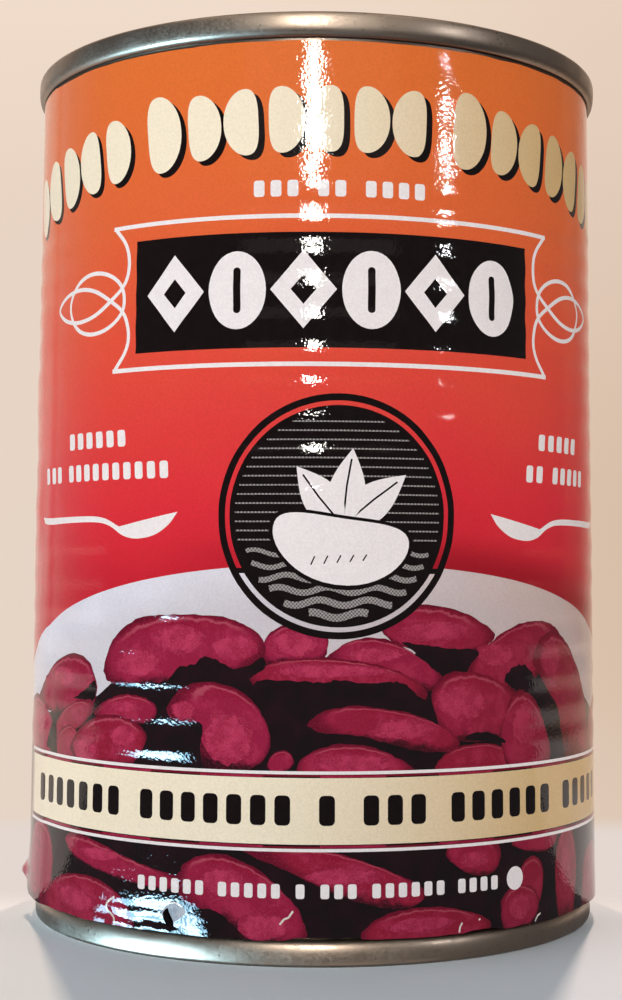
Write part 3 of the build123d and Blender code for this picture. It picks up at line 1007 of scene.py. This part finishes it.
def draw_band(sheet, middle):
    """The cream band inside its fine frame, with a line of dark blocks."""
    low, high, end = 12.9, 21.85, 51.0
    for inset, ink_name in ((0.0, "white"), (0.36, "red"), (0.62, "shade")):
        corners = [(-end + inset, low + inset), (end - inset, low + inset),
                   (end - inset, high - inset), (-end + inset, high - inset)]
        sheet.area(ink_name, [(middle + x, y) for x, y in corners])
    draw_band_gaps(sheet, middle)
    cream = [(-50.2, 13.72), (50.2, 13.72), (50.2, 21.1), (-50.2, 21.1)]
    sheet.area("cream", [(middle + x, y) for x, y in cream])
    words(sheet, "black", -46.5, 46.3, 15.8, 3.35, (7, 7, 1, 3, 6, 5), middle)


def draw_band_gaps(sheet, middle):
    """The beans' tone shows faintly in the gap between frame and band."""
    half, long = 0.13, 7.5
    for x in np.arange(-44, 46, 14.0):
        for y in (13.5, 21.26):
            sheet.area("bean", [(middle + x, y - half), (middle + x + long, y - half),
                                (middle + x + long, y + half), (middle + x, y + half)], tint=0.5)


def draw_arch(sheet, middle):
    """Three groups of plump upright marks on an arch, cream over a dark shadow."""
    arch, pitch = 227.0, 5.05
    plump = [(y, x) for x, y in bean_shape(8.0, 4.3, 0.60)]
    tall = [(x * 1.12, y * 1.18 + 0.3) for x, y in plump]
    # each group: outline, start, count, base height, and 1 where every second mark is turned round
    groups = ((plump, -49.6, 5, 97.25, 1.0), (tall, -22.1, 1, 97.2, 0.0), (plump, -16.6, 6, 97.25, 1.0),
              (tall, 16.3, 1, 97.2, 0.0), (plump, 21.7, 6, 97.25, 1.0))
    for ink_name, shift in (("black", (0.75, -0.6)), ("cream", (0, 0))):
        for outline, start, count, base, turned_marks in groups:
            row(sheet, ink_name, outline, start, count, pitch, base, middle, arch, turned_marks, shift)
    words(sheet, "white", -10.5, 10.7, 87.95, 1.95, (3, 2, 4), middle)


def draw_plate(sheet, middle):
    """The black plate with its white row, inside a fine frame that ends in loops."""
    high, low, line = 85.65, 68.25, 0.5
    knots = [(29.3, high), (27.6, 83.6), (26.95, 81.0), (27.9, 78.6), (30.1, 76.9), (33.4, 75.4),
             (37.0, 74.95), (40.4, 75.6), (42.2, 77.0), (40.4, 78.4), (37.0, 79.0), (33.4, 78.5),
             (30.1, 76.9), (27.9, 75.2), (26.95, 72.8), (27.6, 70.3), (29.3, low)]
    for side in (-1, 1):
        sheet.stroke("white", [(middle + side * x, y) for x, y in smooth_path(knots)], line)
        loop = oval((middle + side * 33.3, 76.9), 5.6, 3.75, 48)
        sheet.stroke("white", loop + loop[:2], line)
    for y in (high, low):
        sheet.stroke("white", [(middle - 29.6, y), (middle, y), (middle + 29.6, y)], 0.52)
    plate = [(-25.8, 70.15), (25.5, 70.15), (25.5, 83.75), (-25.8, 83.75)]
    sheet.area("black", [(middle + x, y) for x, y in plate])
    count, pitch, base = 3, 15.9, 72.4
    lozenges, ovals = -20.1, -12.1
    row(sheet, "white", lozenge(7.8, 9.2), lozenges, count, pitch, base, middle)
    row(sheet, "black", turned(lozenge(3.0, 3.5), 0, (0, 2.85)), lozenges, count, pitch, base, middle)
    row(sheet, "white", oval((0, 4.6), 3.5, 4.6, 36), ovals, count, pitch, base, middle)
    row(sheet, "black", block(0.9, 5.4, 0.4), ovals, count, pitch, base + 1.9, middle)


def draw_badge(sheet, middle):
    """The round badge: two rings, fine lines, rolling stripes and a bean with leaves."""
    centre = (middle, 50.75)
    outer, ring, inner = 14.1, 13.28, 12.75
    parting = 44.55             # the ring is of the ground's ink above this height and pale below it
    sheet.area("black", oval(centre, outer, outer, 96))
    sheet.area("ground", oval_cut(centre, ring, parting, 66.0))
    sheet.area("bowl", oval_cut(centre, ring, 36.0, parting))
    sheet.area("black", oval(centre, inner, inner, 96))
    for number in range(14):
        y = 47.95 + number * 1.05
        half = math.sqrt(12.1 ** 2 - (y - centre[1]) ** 2)
        sheet.stroke("screen", [(middle - half, y), (middle, y), (middle + half, y)], 0.17)
    for number in range(6):
        y = 46.5 - number * 1.42
        half = math.sqrt(12.0 ** 2 - (y - centre[1]) ** 2) - 0.5
        path = [(middle + x, y + 0.32 * math.sin(x * 1.12 + number)) for x in np.linspace(-half, half, 40)]
        sheet.stroke("screen", path, 0.5 + 0.07 * number)
    draw_emblem(sheet, middle)


def oval_cut(centre, radius, low, high):
    """The part of a disc between two heights."""
    points = []
    for angle in np.linspace(0, 2 * math.pi, 120, endpoint=False):
        y = centre[1] + radius * math.sin(angle)
        if low <= y <= high:
            points.append((angle, (centre[0] + radius * math.cos(angle), y)))
    gap = max(range(len(points)), key=lambda i: (points[i][0] - points[i - 1][0]) % (2 * math.pi))
    return [p for _, p in points[gap:] + points[:gap]]


def leaf(length, width):
    """A pointed leaf lying along x from the origin."""
    upper = [(length * t, width / 2 * math.sin(math.pi * t ** 0.8)) for t in np.linspace(0, 1, 14)]
    return upper + [(x, -y) for x, y in upper[-2:0:-1]]


def draw_emblem(sheet, middle):
    """A plain white bean under three leaves."""
    stem = (middle + 0.4, 49.6)
    for angle, long in ((38, 9.6), (82, 9.0), (128, 8.6)):
        sheet.area("white", turned(leaf(long, 4.3), angle, stem))
        vein = [(0.8, 0), (long * 0.5, 0.12), (long * 0.86, 0)]
        sheet.stroke("black", turned(vein, angle, stem), 0.22)
    outline = bean_shape(16.0, 7.6, 1.7)
    tilt, spot = 172, (middle + 0.2, 47.3)
    sheet.area("black", turned([(x * 1.06, y * 1.12) for x, y in outline], tilt, spot))
    sheet.area("white", turned(outline, tilt, spot))
    for number in range(5):
        x = middle - 3.2 + number * 1.5
        sheet.stroke("black", [(x, 45.1 + 0.12 * number), (x + 0.45, 46.1 + 0.05 * number)], 0.16)


def draw_spoon(sheet, middle, side):
    """A plain spoon seen from its side, its tip towards the badge."""
    upper = smooth_path([(46.9, 50.95), (44.0, 50.82), (38.0, 50.86), (33.0, 50.84), (30.4, 50.5),
                         (28.2, 49.6)], 5)
    brim = [(28.0, 49.55), (19.35, 51.2)]
    under = smooth_path([(19.35, 51.2), (20.6, 49.7), (22.6, 48.5), (25.2, 48.1), (27.4, 48.5),
                         (29.6, 49.6), (32.2, 50.1), (38.0, 50.12), (44.0, 50.0), (46.4, 50.2)], 5)
    sheet.area("white", [(middle + side * x, y) for x, y in upper + brim + under])


def draw_picture(sheet, middle):
    """One whole picture of the label."""
    draw_bowl(sheet, middle)
    draw_arch(sheet, middle)
    draw_plate(sheet, middle)
    draw_badge(sheet, middle)
    for start, end, base, height, counts in (
            (-38.9, -26.9, 59.15, 2.0, (6,)), (-46.0, -20.4, 55.2, 2.05, (3, 10)),
            (27.6, 38.0, 59.15, 2.0, (5,)), (25.1, 40.5, 55.2, 2.05, (2, 5))):
        words(sheet, "white", start, end, base, height, counts, middle)
    for side in (-1, 1):
        draw_spoon(sheet, middle, side)
    draw_band(sheet, middle)
    words(sheet, "white", -24.5, 20.4, 7.75, 1.6, (6, 5, 1, 3, 6, 4), middle)
    sheet.area("white", oval((middle + 22.9, 8.7), 1.35, 1.35, 24))


def draw_side_panel(sheet, middle):
    """A cream panel of plain lines between the two pictures."""
    full, last, group = 11.0, 6.0, 5        # a full line, the last of a group, and lines in a group
    sheet.area("white", turned(block(15.0, 46.0, 1.4), 0, (middle, 48.0)))
    sheet.area("cream", turned(block(14.2, 45.2, 1.2), 0, (middle, 48.4)))
    for number in range(3 * group):
        wide = last if number % group == group - 1 else full
        y = 90.0 - number * 2.6 - (number // group) * 1.4
        sheet.area("black", turned(block(wide, 0.7, 0.2), 0, (middle - (full - wide) / 2, y)))


def draw_wear(sheet):
    """Small tears, scratches and bare edges of the paper; the curled flap is drawn flat, with painted shade.
    """
    crack = smooth_path([(-25.0, 3.0), (-25.1, 4.0), (-26.3, 4.8), (-26.2, 5.6), (-25.0, 6.4)], 6)
    sheet.stroke("paper", crack, 0.26)
    # the curl drawn flat: grey painted shade, with a stroke of bare paper along its top as its edge and
    # painted highlight
    curl = smooth_path([(-17.2, 4.2), (-17.9, 4.8), (-18.1, 5.6), (-17.4, 6.4), (-16.2, 6.7), (-15.2, 6.3),
                        (-14.9, 5.6), (-15.6, 4.9), (-16.4, 4.4), (-17.2, 4.2)], 5)[:-1]
    sheet.area("torn", curl)
    sheet.stroke("paper", smooth_path([(-18.0, 5.7), (-17.3, 6.35), (-16.2, 6.6), (-15.3, 6.2)], 6), 0.2)
    # painted shadow: the dark slit beside the curl
    slit = smooth_path([(-16.9, 3.5), (-17.7, 4.3), (-17.9, 5.3), (-17.3, 5.9), (-17.0, 5.3), (-16.6, 4.6),
                        (-16.5, 4.0), (-16.9, 3.5)], 4)[:-1]
    sheet.area("gap", slit)
    for path in ([(-3.7, 4.9), (-3.2, 5.5), (-2.7, 5.7), (-2.2, 6.4)],
                 [(17.4, 3.3), (17.5, 3.9), (17.8, 4.4)],
                 [(20.1, 4.4), (20.3, 4.6)],
                 [(29.2, 3.3), (29.7, 3.9), (30.3, 4.1)]):
        sheet.stroke("paper", path, 0.22)


def draw_label():
    """The whole label, flat."""
    sheet = Print()
    begin, finish = FREE_EDGE - 2, FREE_EDGE + TURN + 20
    low, high = LABEL_LOW - 2, LABEL_HIGH + 2
    sheet.area("ground", [(begin, low), (finish, low), (finish, high), (begin, high)])
    build_row_tree()
    for repeat in (0, 1):
        draw_picture(sheet, PICTURE_MIDDLE + repeat * TURN / 2)
    draw_side_panel(sheet, PICTURE_MIDDLE + TURN / 4)
    draw_wear(sheet)
    return sheet


# ---------------------------------------------------------------- the wrapped label

def soft_noise(x, y, seed):
    """Smooth noise from -1 to 1 on a unit lattice."""
    lattice = np.random.default_rng(seed).uniform(-1, 1, (64, 64))
    x0, y0 = np.floor(x).astype(int), np.floor(y).astype(int)
    u, v = x - x0, y - y0
    u, v = u * u * (3 - 2 * u), v * v * (3 - 2 * v)
    a, b = lattice[x0 % 64, y0 % 64], lattice[(x0 + 1) % 64, y0 % 64]
    c, d = lattice[x0 % 64, (y0 + 1) % 64], lattice[(x0 + 1) % 64, (y0 + 1) % 64]
    return (a * (1 - u) + b * u) * (1 - v) + (c * (1 - u) + d * u) * v


def step(value, start, end):
    """A smooth step of value from 0 at start to 1 at end."""
    t = np.clip((value - start) / (end - start), 0, 1)
    return t * t * (3 - 2 * t)


# where the paper is drawn tightest over a rib: height, middle, half width and how much more it is pressed
TAUT = ((38.9, -18.0, 3.6, 1.50), (35.0, -23.0, 3.8, 1.25), (31.0, -22.0, 8.0, 0.80),
        (31.1, -32.0, 4.5, 1.05), (27.2, -20.5, 8.4, 0.72), (23.3, -20.0, 8.4, 0.66))


def ribs_through(x, z, settings):
    """The wall's ribs as the paper shows them, pressed hardest where it is drawn tight."""
    pitch, first = settings.rib_pitch / MM, settings.first_rib / MM
    last = first + (settings.rib_count - 1) * pitch
    within = step(z, first + 0.4, first + 1.8) * step(z, last + pitch, last + pitch / 4)
    press = settings.ripple / MM * (1 + 0.45 * soft_noise(x / 9, z / pitch, 3))
    for height, middle, half, more in TAUT:
        reach = np.clip(1 - np.abs(x - middle) / half, 0, 1) ** 0.5
        more = more * (1 + 0.35 * soft_noise(x / 2.2, z / pitch, 4))
        press = press * (1 + more * reach * np.exp(-((z - height) / 1.7) ** 4))
    # the paper sags between the ribs, and lower down it has slipped by half a rib
    slipped = 0.5 * step(z, 60, 46)
    hollow = 0.5 + 0.5 * np.cos(2 * np.pi * ((z - first) / pitch + slipped))
    return press * within * (0.1 + slipped - hollow)


def lap_over(x, z, settings):
    """The lap: this end lies over the other, with glue wrinkles and a loose lower corner."""
    lap, over = settings.lap / MM, x - FREE_EDGE
    lifted = (PAPER + 0.05) * step(over, lap + 1.2, lap - 0.2)
    wrinkled = step(over, lap + 3, lap - 4) * step(z, 30, 45) * step(z, 92, 74)
    lifted = lifted + wrinkled * (0.07 + 0.11 * soft_noise(x / 3.1, z / 7.5, 11))
    fold = 1 - over / 9.5 - (z - LABEL_LOW) / 9.0
    lifted = lifted + settings.corner_lift / MM * np.clip(fold, 0, 1) ** 1.4
    lifted = lifted + 0.14 * step(x, -36, -42) * step(x, -58, -52) * step(z, 11.0, 6.0)
    return lifted + 0.85 * np.exp(-(z - 5.2) ** 2) * step(x, -50.0, -54.5) * step(over, 6, 2)


def loose_skirt(x, z):
    """The skirt below the last rib hangs free over the neck: bent, pushed in and creased."""
    free = step(z, 8.5, LABEL_LOW)
    pushed = step(x, -30, -25) * step(x, -11, -15)
    bands = np.sin(2 * np.pi * z / 1.55 + 1.6 * soft_noise(x / 3.4, z / 4, 21))
    crease = np.abs(x + 25.2 + 0.4 * np.sin(z))
    bent = free * (0.05 + 0.10 * soft_noise(x / 6, z / 20, 13))
    bent = bent - step(z, 7.6, LABEL_LOW) * pushed * (0.28 + 0.05 * soft_noise(x / 2.2, z / 0.9, 15))
    bent = bent + step(z, 7.0, 5.6) * pushed * 0.022 * bands
    return bent + free * 0.16 * np.exp(-(crease / 0.8) ** 2)


def label_relief(x, z, settings):
    """How far the paper's face stands off the plain wrap at a place on the flat label, in mm."""
    cockle = 0.022 * soft_noise(x / 7, z / 8, 5) + 0.012 * soft_noise(x / 2.6, z / 2.6, 7)
    return ribs_through(x, z, settings) + cockle + lap_over(x, z, settings) + loose_skirt(x, z)


def cut_edge(x, z):
    """The label's cut edges aren't quite straight: how far a point moves up or down, in mm."""
    low = step(z, LABEL_LOW + 2.0, LABEL_LOW)
    high = step(z, LABEL_HIGH - 2.0, LABEL_HIGH)
    nick = 0.34 * step(x, -3.2, -2.4) * step(x, 6.2, 5.0)
    nick = nick + 0.22 * step(x, 18.0, 18.8) * step(x, 23.8, 22.8)
    nick = nick + 0.12 * np.clip(soft_noise(x / 1.3, x / 7.0, 17), 0, 1)
    nick = nick + 0.05 * soft_noise(x / 3.0, x * 0, 19)
    nick = nick + 0.7 * step(x, -48.0, -52.5)
    return low * nick + high * (0.07 * soft_noise(x / 2.2, x / 9.0, 23) - 0.05)


def wrap(x, z, inward, settings):
    """Places of flat label points on the tin, in metres, with the paper's normal there."""
    def at(x, z):
        """The paper's place on the tin, in millimetres."""
        radius = LABEL_RADIUS + label_relief(x, z, settings) - inward
        angle = x / LABEL_RADIUS
        return np.stack([radius * np.sin(angle), -radius * np.cos(angle), z + cut_edge(x, z)], -1)

    gap = 0.05
    across, up = at(x + gap, z) - at(x - gap, z), at(x, z + gap) - at(x, z - gap)
    normal = np.cross(across, up)
    return at(x, z) * MM, normal / np.linalg.norm(normal, axis=-1)[:, None]


def label_grid(step_x, step_z, begin, finish):
    """Points and edges of a grid over the whole label."""
    columns = np.linspace(begin, finish, int(round((finish - begin) / step_x)) + 1)
    rows = np.linspace(LABEL_LOW, LABEL_HIGH, int(round((LABEL_HIGH - LABEL_LOW) / step_z)) + 1)
    points = [(x, z) for z in rows for x in columns]
    wide = len(columns)
    edges = [(j * wide + i, j * wide + i + 1) for j in range(len(rows)) for i in range(wide - 1)]
    edges += [(j * wide + i, (j + 1) * wide + i) for j in range(len(rows) - 1) for i in range(wide)]
    return points, edges


def cut_sheet(sheet, begin, finish):
    """Cuts the flat label into faces that each carry one ink: points, triangles and their areas."""
    points, edges = label_grid(1.5, 0.47, begin, finish)
    first = len(points)
    points = points + sheet.points
    faces = [list(range(first + area.first, first + area.end)) for area in sheet.areas]
    places, _, triangles, _, _, owners = delaunay_2d_cdt([Vector(p) for p in points], edges, faces,
                                                         0, 1e-5, True)
    flat = np.array([tuple(p) for p in places])
    kept, tops = [], []
    for triangle, owner in zip(triangles, owners):
        middle = flat[list(triangle)].mean(axis=0)
        if owner and begin < middle[0] < finish and LABEL_LOW < middle[1] < LABEL_HIGH:
            kept.append(triangle)
            tops.append(max(owner))
    return flat, np.array(kept), np.array(tops)


def bean_places(sheet, flat, triangles, tops):
    """Each corner's place within its own mark, by the mark's own turn and bend."""
    marks = np.zeros((len(triangles), 3, 2))
    for number, area in enumerate(sheet.areas):
        mine = tops == number
        if INKS[area.ink] not in ("bean", "worn") or not mine.any():
            continue
        outline = np.array(sheet.points[area.first:area.end])
        places = np.array(sheet.marks[area.first:area.end])
        x, y = outline.T
        terms = np.stack([np.ones_like(x), x, y, x * x, x * y, y * y], 1)
        fit, _, _, _ = np.linalg.lstsq(terms, places, rcond=None)
        px, py = flat[triangles[mine]].transpose(2, 0, 1)
        spread = np.stack([np.ones_like(px), px, py, px * px, px * py, py * py], -1)
        marks[mine] = spread @ fit
    return marks


def ink_faces(mesh, sheet, flat, faces, tops):
    """Gives the printed faces, which come first, their ink, places and tint; the rest is bare paper."""
    printed = len(tops)
    inks = np.full(len(faces), INKS.index("paper"), np.int32)
    inks[:printed] = [sheet.areas[top].ink for top in tops]
    mesh.polygons.foreach_set("material_index", inks)
    mesh.uv_layers.new(name="Sheet").data.foreach_set("uv", flat[faces].astype(np.float32).ravel())
    marks = np.zeros((len(faces), 3, 2), np.float32)
    marks[:printed] = bean_places(sheet, flat, faces[:printed], tops)
    mesh.uv_layers.new(name="Mark").data.foreach_set("uv", marks.ravel())
    tints = np.zeros(len(faces), np.float32)
    tints[:printed] = [sheet.areas[top].tint for top in tops]
    mesh.attributes.new("tint", "FLOAT", "FACE").data.foreach_set("value", tints)


def build_label_mesh(settings):
    """The printed sheet wrapped round the tin: outer face in inks, bare inside and edges."""
    sheet = draw_label()
    begin, finish = FREE_EDGE, FREE_EDGE + TURN + settings.lap / MM
    flat, triangles, tops = cut_sheet(sheet, begin, finish)
    used, triangles = np.unique(triangles, return_inverse=True)
    triangles = triangles.reshape(-1, 3)
    flat = flat[used]
    outer, outer_normal = wrap(flat[:, 0], flat[:, 1], 0.0, settings)
    # the inner face keeps the outer rim's points, so that the two close along their edges
    snap = 1e-4
    rim = ((flat[:, 0] < begin + snap) | (flat[:, 0] > finish - snap)
           | (flat[:, 1] < LABEL_LOW + snap) | (flat[:, 1] > LABEL_HIGH - snap))
    rim_points = np.nonzero(rim)[0]
    inner_flat, inner_faces = cut_inner(flat[rim], begin, finish)
    inner, inner_normal = wrap(inner_flat[:, 0], inner_flat[:, 1], PAPER, settings)
    match = {tuple(np.round(p, 5)): i for i, p in enumerate(inner_flat)}
    partner = {int(i): match[tuple(np.round(flat[i], 5))] for i in rim_points}
    shift = len(outer)
    edge_faces, edge_normals = close_edges(triangles, partner, shift, outer, inner)
    faces = np.concatenate([triangles, inner_faces[:, ::-1] + shift, edge_faces])
    vertices = np.concatenate([outer, inner])
    mesh = bpy.data.meshes.new("printed_label")
    mesh.from_pydata(vertices.tolist(), [], faces.tolist())
    ink_faces(mesh, sheet, np.concatenate([flat, inner_flat]), faces, tops)
    for material in make_inks(settings):
        mesh.materials.append(material)
    normals = np.concatenate([outer_normal[triangles].reshape(-1, 3),
                              -inner_normal[inner_faces[:, ::-1]].reshape(-1, 3), edge_normals])
    mesh.polygons.foreach_set("use_smooth", np.ones(len(faces), bool))
    mesh.normals_split_custom_set(normals.tolist())
    return mesh


def cut_inner(rim_flat, begin, finish):
    """A coarser grid for the inner face that keeps the rim's points."""
    points = label_grid(3.0, 0.94, begin, finish)[0]
    inside = [(x, z) for x, z in points if begin + 0.5 < x < finish - 0.5
              and LABEL_LOW + 0.3 < z < LABEL_HIGH - 0.3]
    points = [Vector(p) for p in rim_flat] + [Vector(p) for p in inside]
    places, _, triangles, _, _, _ = delaunay_2d_cdt(points, [], [], 0, 1e-6, False)
    return np.array([tuple(p) for p in places]), np.array(triangles)


def close_edges(triangles, partner, shift, outer, inner):
    """Strips that join the outer and inner faces along the paper's cut edges."""
    sides = np.concatenate([triangles[:, [0, 1]], triangles[:, [1, 2]], triangles[:, [2, 0]]])
    known = {(int(a), int(b)) for a, b in sides}
    faces, normals = [], []
    for a, b in known:
        if (b, a) in known:
            continue
        c, d = partner[a] + shift, partner[b] + shift
        along, inward = outer[b] - outer[a], inner[partner[a]] - outer[a]
        normal = np.cross(inward, along)
        normal /= np.linalg.norm(normal)
        faces += [(b, a, c), (b, c, d)]
        normals += [normal] * 6
    return np.array(faces), np.array(normals)


class TIN_OT_label(bpy.types.Operator):
    """Print the label, wrap it round the tin and leave its lap edge and loose corner"""
    bl_idname = "tin.label"
    bl_label = "Label"

    def execute(self, context):
        mesh = build_label_mesh(context.scene.tin_label)
        add_piece("printed_label", mesh, "label_paper", "paper_label")
        return {"FINISHED"}


# ---------------------------------------------------------------- stage

def make_stage_material(name, near, far):
    """Plain paper, lit near the tin; farther off the camera and reflections see it glow in painted light and
    painted shade.
    """
    material, tree, surface = new_material(name)
    place = object_place(tree)
    grain = noise(tree, place, 60.0, 3.0)
    surface.inputs["Roughness"].default_value = 0.9
    surface.inputs["Specular IOR Level"].default_value = 0.1
    split = split_xyz(tree, place)
    path = add_node(tree, "ShaderNodeLightPath")
    put(tree, blend(tree, maths(tree, "MULTIPLY", grain, 0.05), near, far), surface.inputs["Base Color"])
    glow = add_node(tree, "ShaderNodeEmission")
    # painted light: away from the tin the paper glows, lighter higher up the wall
    tone = ramp(tree, split["Z"], -0.1, 0.35, (far, far, ink(233, 212, 196), ink(246, 225, 208)))
    # painted shade: the glow turns darker and warmer towards the right and low down
    painted_right_shade = maths(tree, "MULTIPLY", fade(tree, split["X"], -0.06, 0.16),
                  fade(tree, split["Z"], 0.24, 0.05, 0.40, 1.0))
    tone = blend(tree, painted_right_shade, tone, ink(215, 189, 166))
    # painted light: the floor close round the tin glows in one even tone instead of its own lighting
    painted_floor_tone = maths(tree, "MULTIPLY", fade(tree, split["Y"], 0.085, 0.060),
                  fade(tree, split["Z"], 0.010, 0.002))
    tone = blend(tree, painted_floor_tone, tone, ink(227, 215, 208))
    # painted shade: the glow dims towards the far left and right
    edge = maths(tree, "MULTIPLY", fade(tree, split["X"], 0.55, 0.15, 0.30, 1.0),
                 fade(tree, split["X"], -1.0, -0.16, 0.25, 1.0))
    put(tree, edge, glow.inputs["Strength"])
    put(tree, tone, glow.inputs["Color"])
    seen = maths(tree, "MAXIMUM", path.outputs["Is Camera Ray"], path.outputs["Is Glossy Ray"])
    factor = maths(tree, "MULTIPLY", seen, fade(tree, split["Y"], -0.016, 0.010))
    mix = add_node(tree, "ShaderNodeMixShader")
    put(tree, factor, mix.inputs[0])
    put(tree, surface.outputs[0], mix.inputs[1])
    put(tree, glow.outputs[0], mix.inputs[2])
    put(tree, mix.outputs[0], tree.nodes["Material Output"].inputs["Surface"])
    return material


def build_sweep(settings):
    """Floor and wall as one curved sheet; the part of the floor in front is not seen in reflections."""
    left, right, front = -1.3, 0.85, -0.9
    wall, height, bend = 0.50, 1.0, 0.16
    material = make_stage_material("sweep_paper_painted_glow", settings.floor, settings.backdrop)
    curve = [(wall - bend + bend * math.sin(a), bend - bend * math.cos(a))
             for a in np.linspace(0, math.pi / 2, 24)]
    for name, profile in (("front_floor", [(front, 0.0), (0.0, 0.0)]),
                          ("backdrop", [(0.0, 0.0)] + curve + [(wall, height)])):
        vertices = [(x, y, z) for x in (left, right) for y, z in profile]
        count = len(profile)
        faces = [(i, count + i, count + i + 1, i + 1) for i in range(count - 1)]
        mesh = bpy.data.meshes.new(name)
        mesh.from_pydata(vertices, [], faces)
        mesh.polygons.foreach_set("use_smooth", [True] * len(faces))
        mesh.materials.append(material)
        part = bpy.data.objects.new(name, mesh)
        bpy.context.scene.collection.objects.link(part)
        part.visible_shadow = False
        part.visible_glossy = name != "front_floor"


def add_lamp(name, azimuth, elevation, distance, size, power, tone, glossy=True, diffuse=True):
    """A soft rectangular lamp that looks at the tin's middle.

    Azimuth 0 is in front and 90 on the tin's right; angles are in degrees, distance and size in metres.
    """
    aim = Vector((0, 0, TIN_HEIGHT * MM / 2))
    a, e = math.radians(azimuth), math.radians(elevation)
    away = Vector((math.sin(a) * math.cos(e), -math.cos(a) * math.cos(e), math.sin(e)))
    light = bpy.data.lights.new(name, "AREA")
    light.shape = "RECTANGLE"
    light.size, light.size_y = size
    light.energy = power
    light.color = tone
    lamp = bpy.data.objects.new(name, light)
    lamp.location = aim + away * distance
    lamp.rotation_euler = away.to_track_quat("Z", "Y").to_euler()
    lamp.visible_glossy = glossy
    lamp.visible_diffuse = diffuse
    lamp.visible_camera = False
    bpy.context.scene.collection.objects.link(lamp)


def set_lamps():
    """Soft lamps: some light the surfaces, some are only seen in their reflections."""
    add_lamp("ceiling_lamp", 2.0, 17.5, 1.6, (0.24, 0.29), 7.0, (1.0, 0.94, 0.86), glossy=False)
    add_lamp("ceiling_glare", -1.0, 17.5, 1.6, (0.14, 0.29), 9.0, (1.0, 0.95, 0.88), diffuse=False)
    add_lamp("side_lamp", 53.0, 14.6, 1.6, (0.09, 0.03), 1.8, (0.95, 0.97, 1.0))
    add_lamp("overhead_glow", 0.0, 70.0, 1.2, (1.8, 1.4), 4.2, (1.0, 0.88, 0.76), diffuse=False)
    add_lamp("wall_glow", 2.0, 22.0, 1.7, (1.9, 0.5), 0.6, (1.0, 0.88, 0.76), diffuse=False)
    add_lamp("low_window", -67.0, -26.5, 0.50, (0.32, 0.155), 3.0, (0.38, 0.74, 1.0), diffuse=False)
    add_lamp("window_core", -62.0, -22.5, 0.50, (0.17, 0.07), 0.9, (0.62, 0.86, 1.0), diffuse=False)
    add_lamp("table_glow", 8.0, -42.0, 1.0, (1.3, 0.45), 0.60, (1.0, 0.88, 0.80), diffuse=False)
    add_lamp("soft_window", -71.0, 23.0, 1.1, (0.80, 0.30), 2.8, (0.80, 0.92, 1.0), glossy=False)
    add_lamp("back_lamp_left", 196.0, 45.0, 1.6, (0.07, 0.07), 20.5, (1.0, 0.70, 0.48), glossy=False)
    add_lamp("back_lamp_right", 164.0, 45.0, 1.6, (0.07, 0.07), 24.0, (1.0, 0.74, 0.60), glossy=False)
    add_lamp("fill", -30.0, 35.0, 1.2, (1.0, 0.8), 4.0, (1.0, 0.96, 0.93), glossy=False)


def set_world():
    """An even grey room, darker in reflections."""
    world = bpy.data.worlds.new("room")
    world.use_nodes = True
    bpy.context.scene.world = world
    tree = world.node_tree
    base = tree.nodes["Background"]
    base.inputs["Color"].default_value = (*ink(216, 214, 216), 1)
    path = add_node(tree, "ShaderNodeLightPath")
    put(tree, fade(tree, path.outputs["Is Glossy Ray"], 0.0, 1.0, 0.30, 0.15), base.inputs["Strength"])


def set_camera(settings):
    """The camera in front of the tin, a little below its middle."""
    data = bpy.data.cameras.new("camera")
    data.sensor_fit = "AUTO"
    data.lens = settings.lens
    data.shift_y = settings.rise
    camera = bpy.data.objects.new("camera", data)
    camera.location = (0, -settings.view_distance, settings.eye_height)
    camera.rotation_euler = (math.pi / 2 + settings.look_up, 0, -settings.look_right)
    camera.rotation_euler.rotate_axis("Z", settings.roll)
    bpy.context.scene.collection.objects.link(camera)
    bpy.context.scene.camera = camera


class TIN_OT_stage(bpy.types.Operator):
    """Set the floor, the backdrop, the lamps and the camera"""
    bl_idname = "tin.stage"
    bl_label = "Stage"

    def execute(self, context):
        settings = context.scene.tin_stage
        context.scene.view_settings.view_transform = "Standard"
        set_world()
        build_sweep(settings)
        set_lamps()
        set_camera(settings)
        return {"FINISHED"}


class TIN_PT_panel(bpy.types.Panel):
    """Lists the steps that make the tin"""
    bl_label = "Labelled tin"
    bl_idname = "TIN_PT_panel"
    bl_space_type = "VIEW_3D"
    bl_region_type = "UI"
    bl_category = "Tin"

    def draw(self, context):
        for operator in STEPS:
            self.layout.operator(operator.bl_idname)
        for group in (context.scene.tin_metal, context.scene.tin_label, context.scene.tin_stage):
            for name in group.__annotations__:
                self.layout.prop(group, name)


SETTINGS = {"tin_metal": TinMetalSettings, "tin_label": TinLabelSettings, "tin_stage": TinStageSettings}
STEPS = (TIN_OT_rims, TIN_OT_wall, TIN_OT_label, TIN_OT_stage)


def register():
    for settings in SETTINGS.values():
        bpy.utils.register_class(settings)
    for operator in STEPS:
        bpy.utils.register_class(operator)
    bpy.utils.register_class(TIN_PT_panel)
    for name, settings in SETTINGS.items():
        setattr(bpy.types.Scene, name, PointerProperty(type=settings))


def unregister():
    for name in SETTINGS:
        delattr(bpy.types.Scene, name)
    bpy.utils.unregister_class(TIN_PT_panel)
    for operator in reversed(STEPS):
        bpy.utils.unregister_class(operator)
    for settings in reversed(SETTINGS.values()):
        bpy.utils.unregister_class(settings)


def main():
    """Makes every piece and the stage."""
    register()
    build_varnish_group()
    build_tinplate_group()
    bpy.ops.tin.rims()
    bpy.ops.tin.wall()
    bpy.ops.tin.label()
    bpy.ops.tin.stage()


if __name__ == "__main__":
    main()
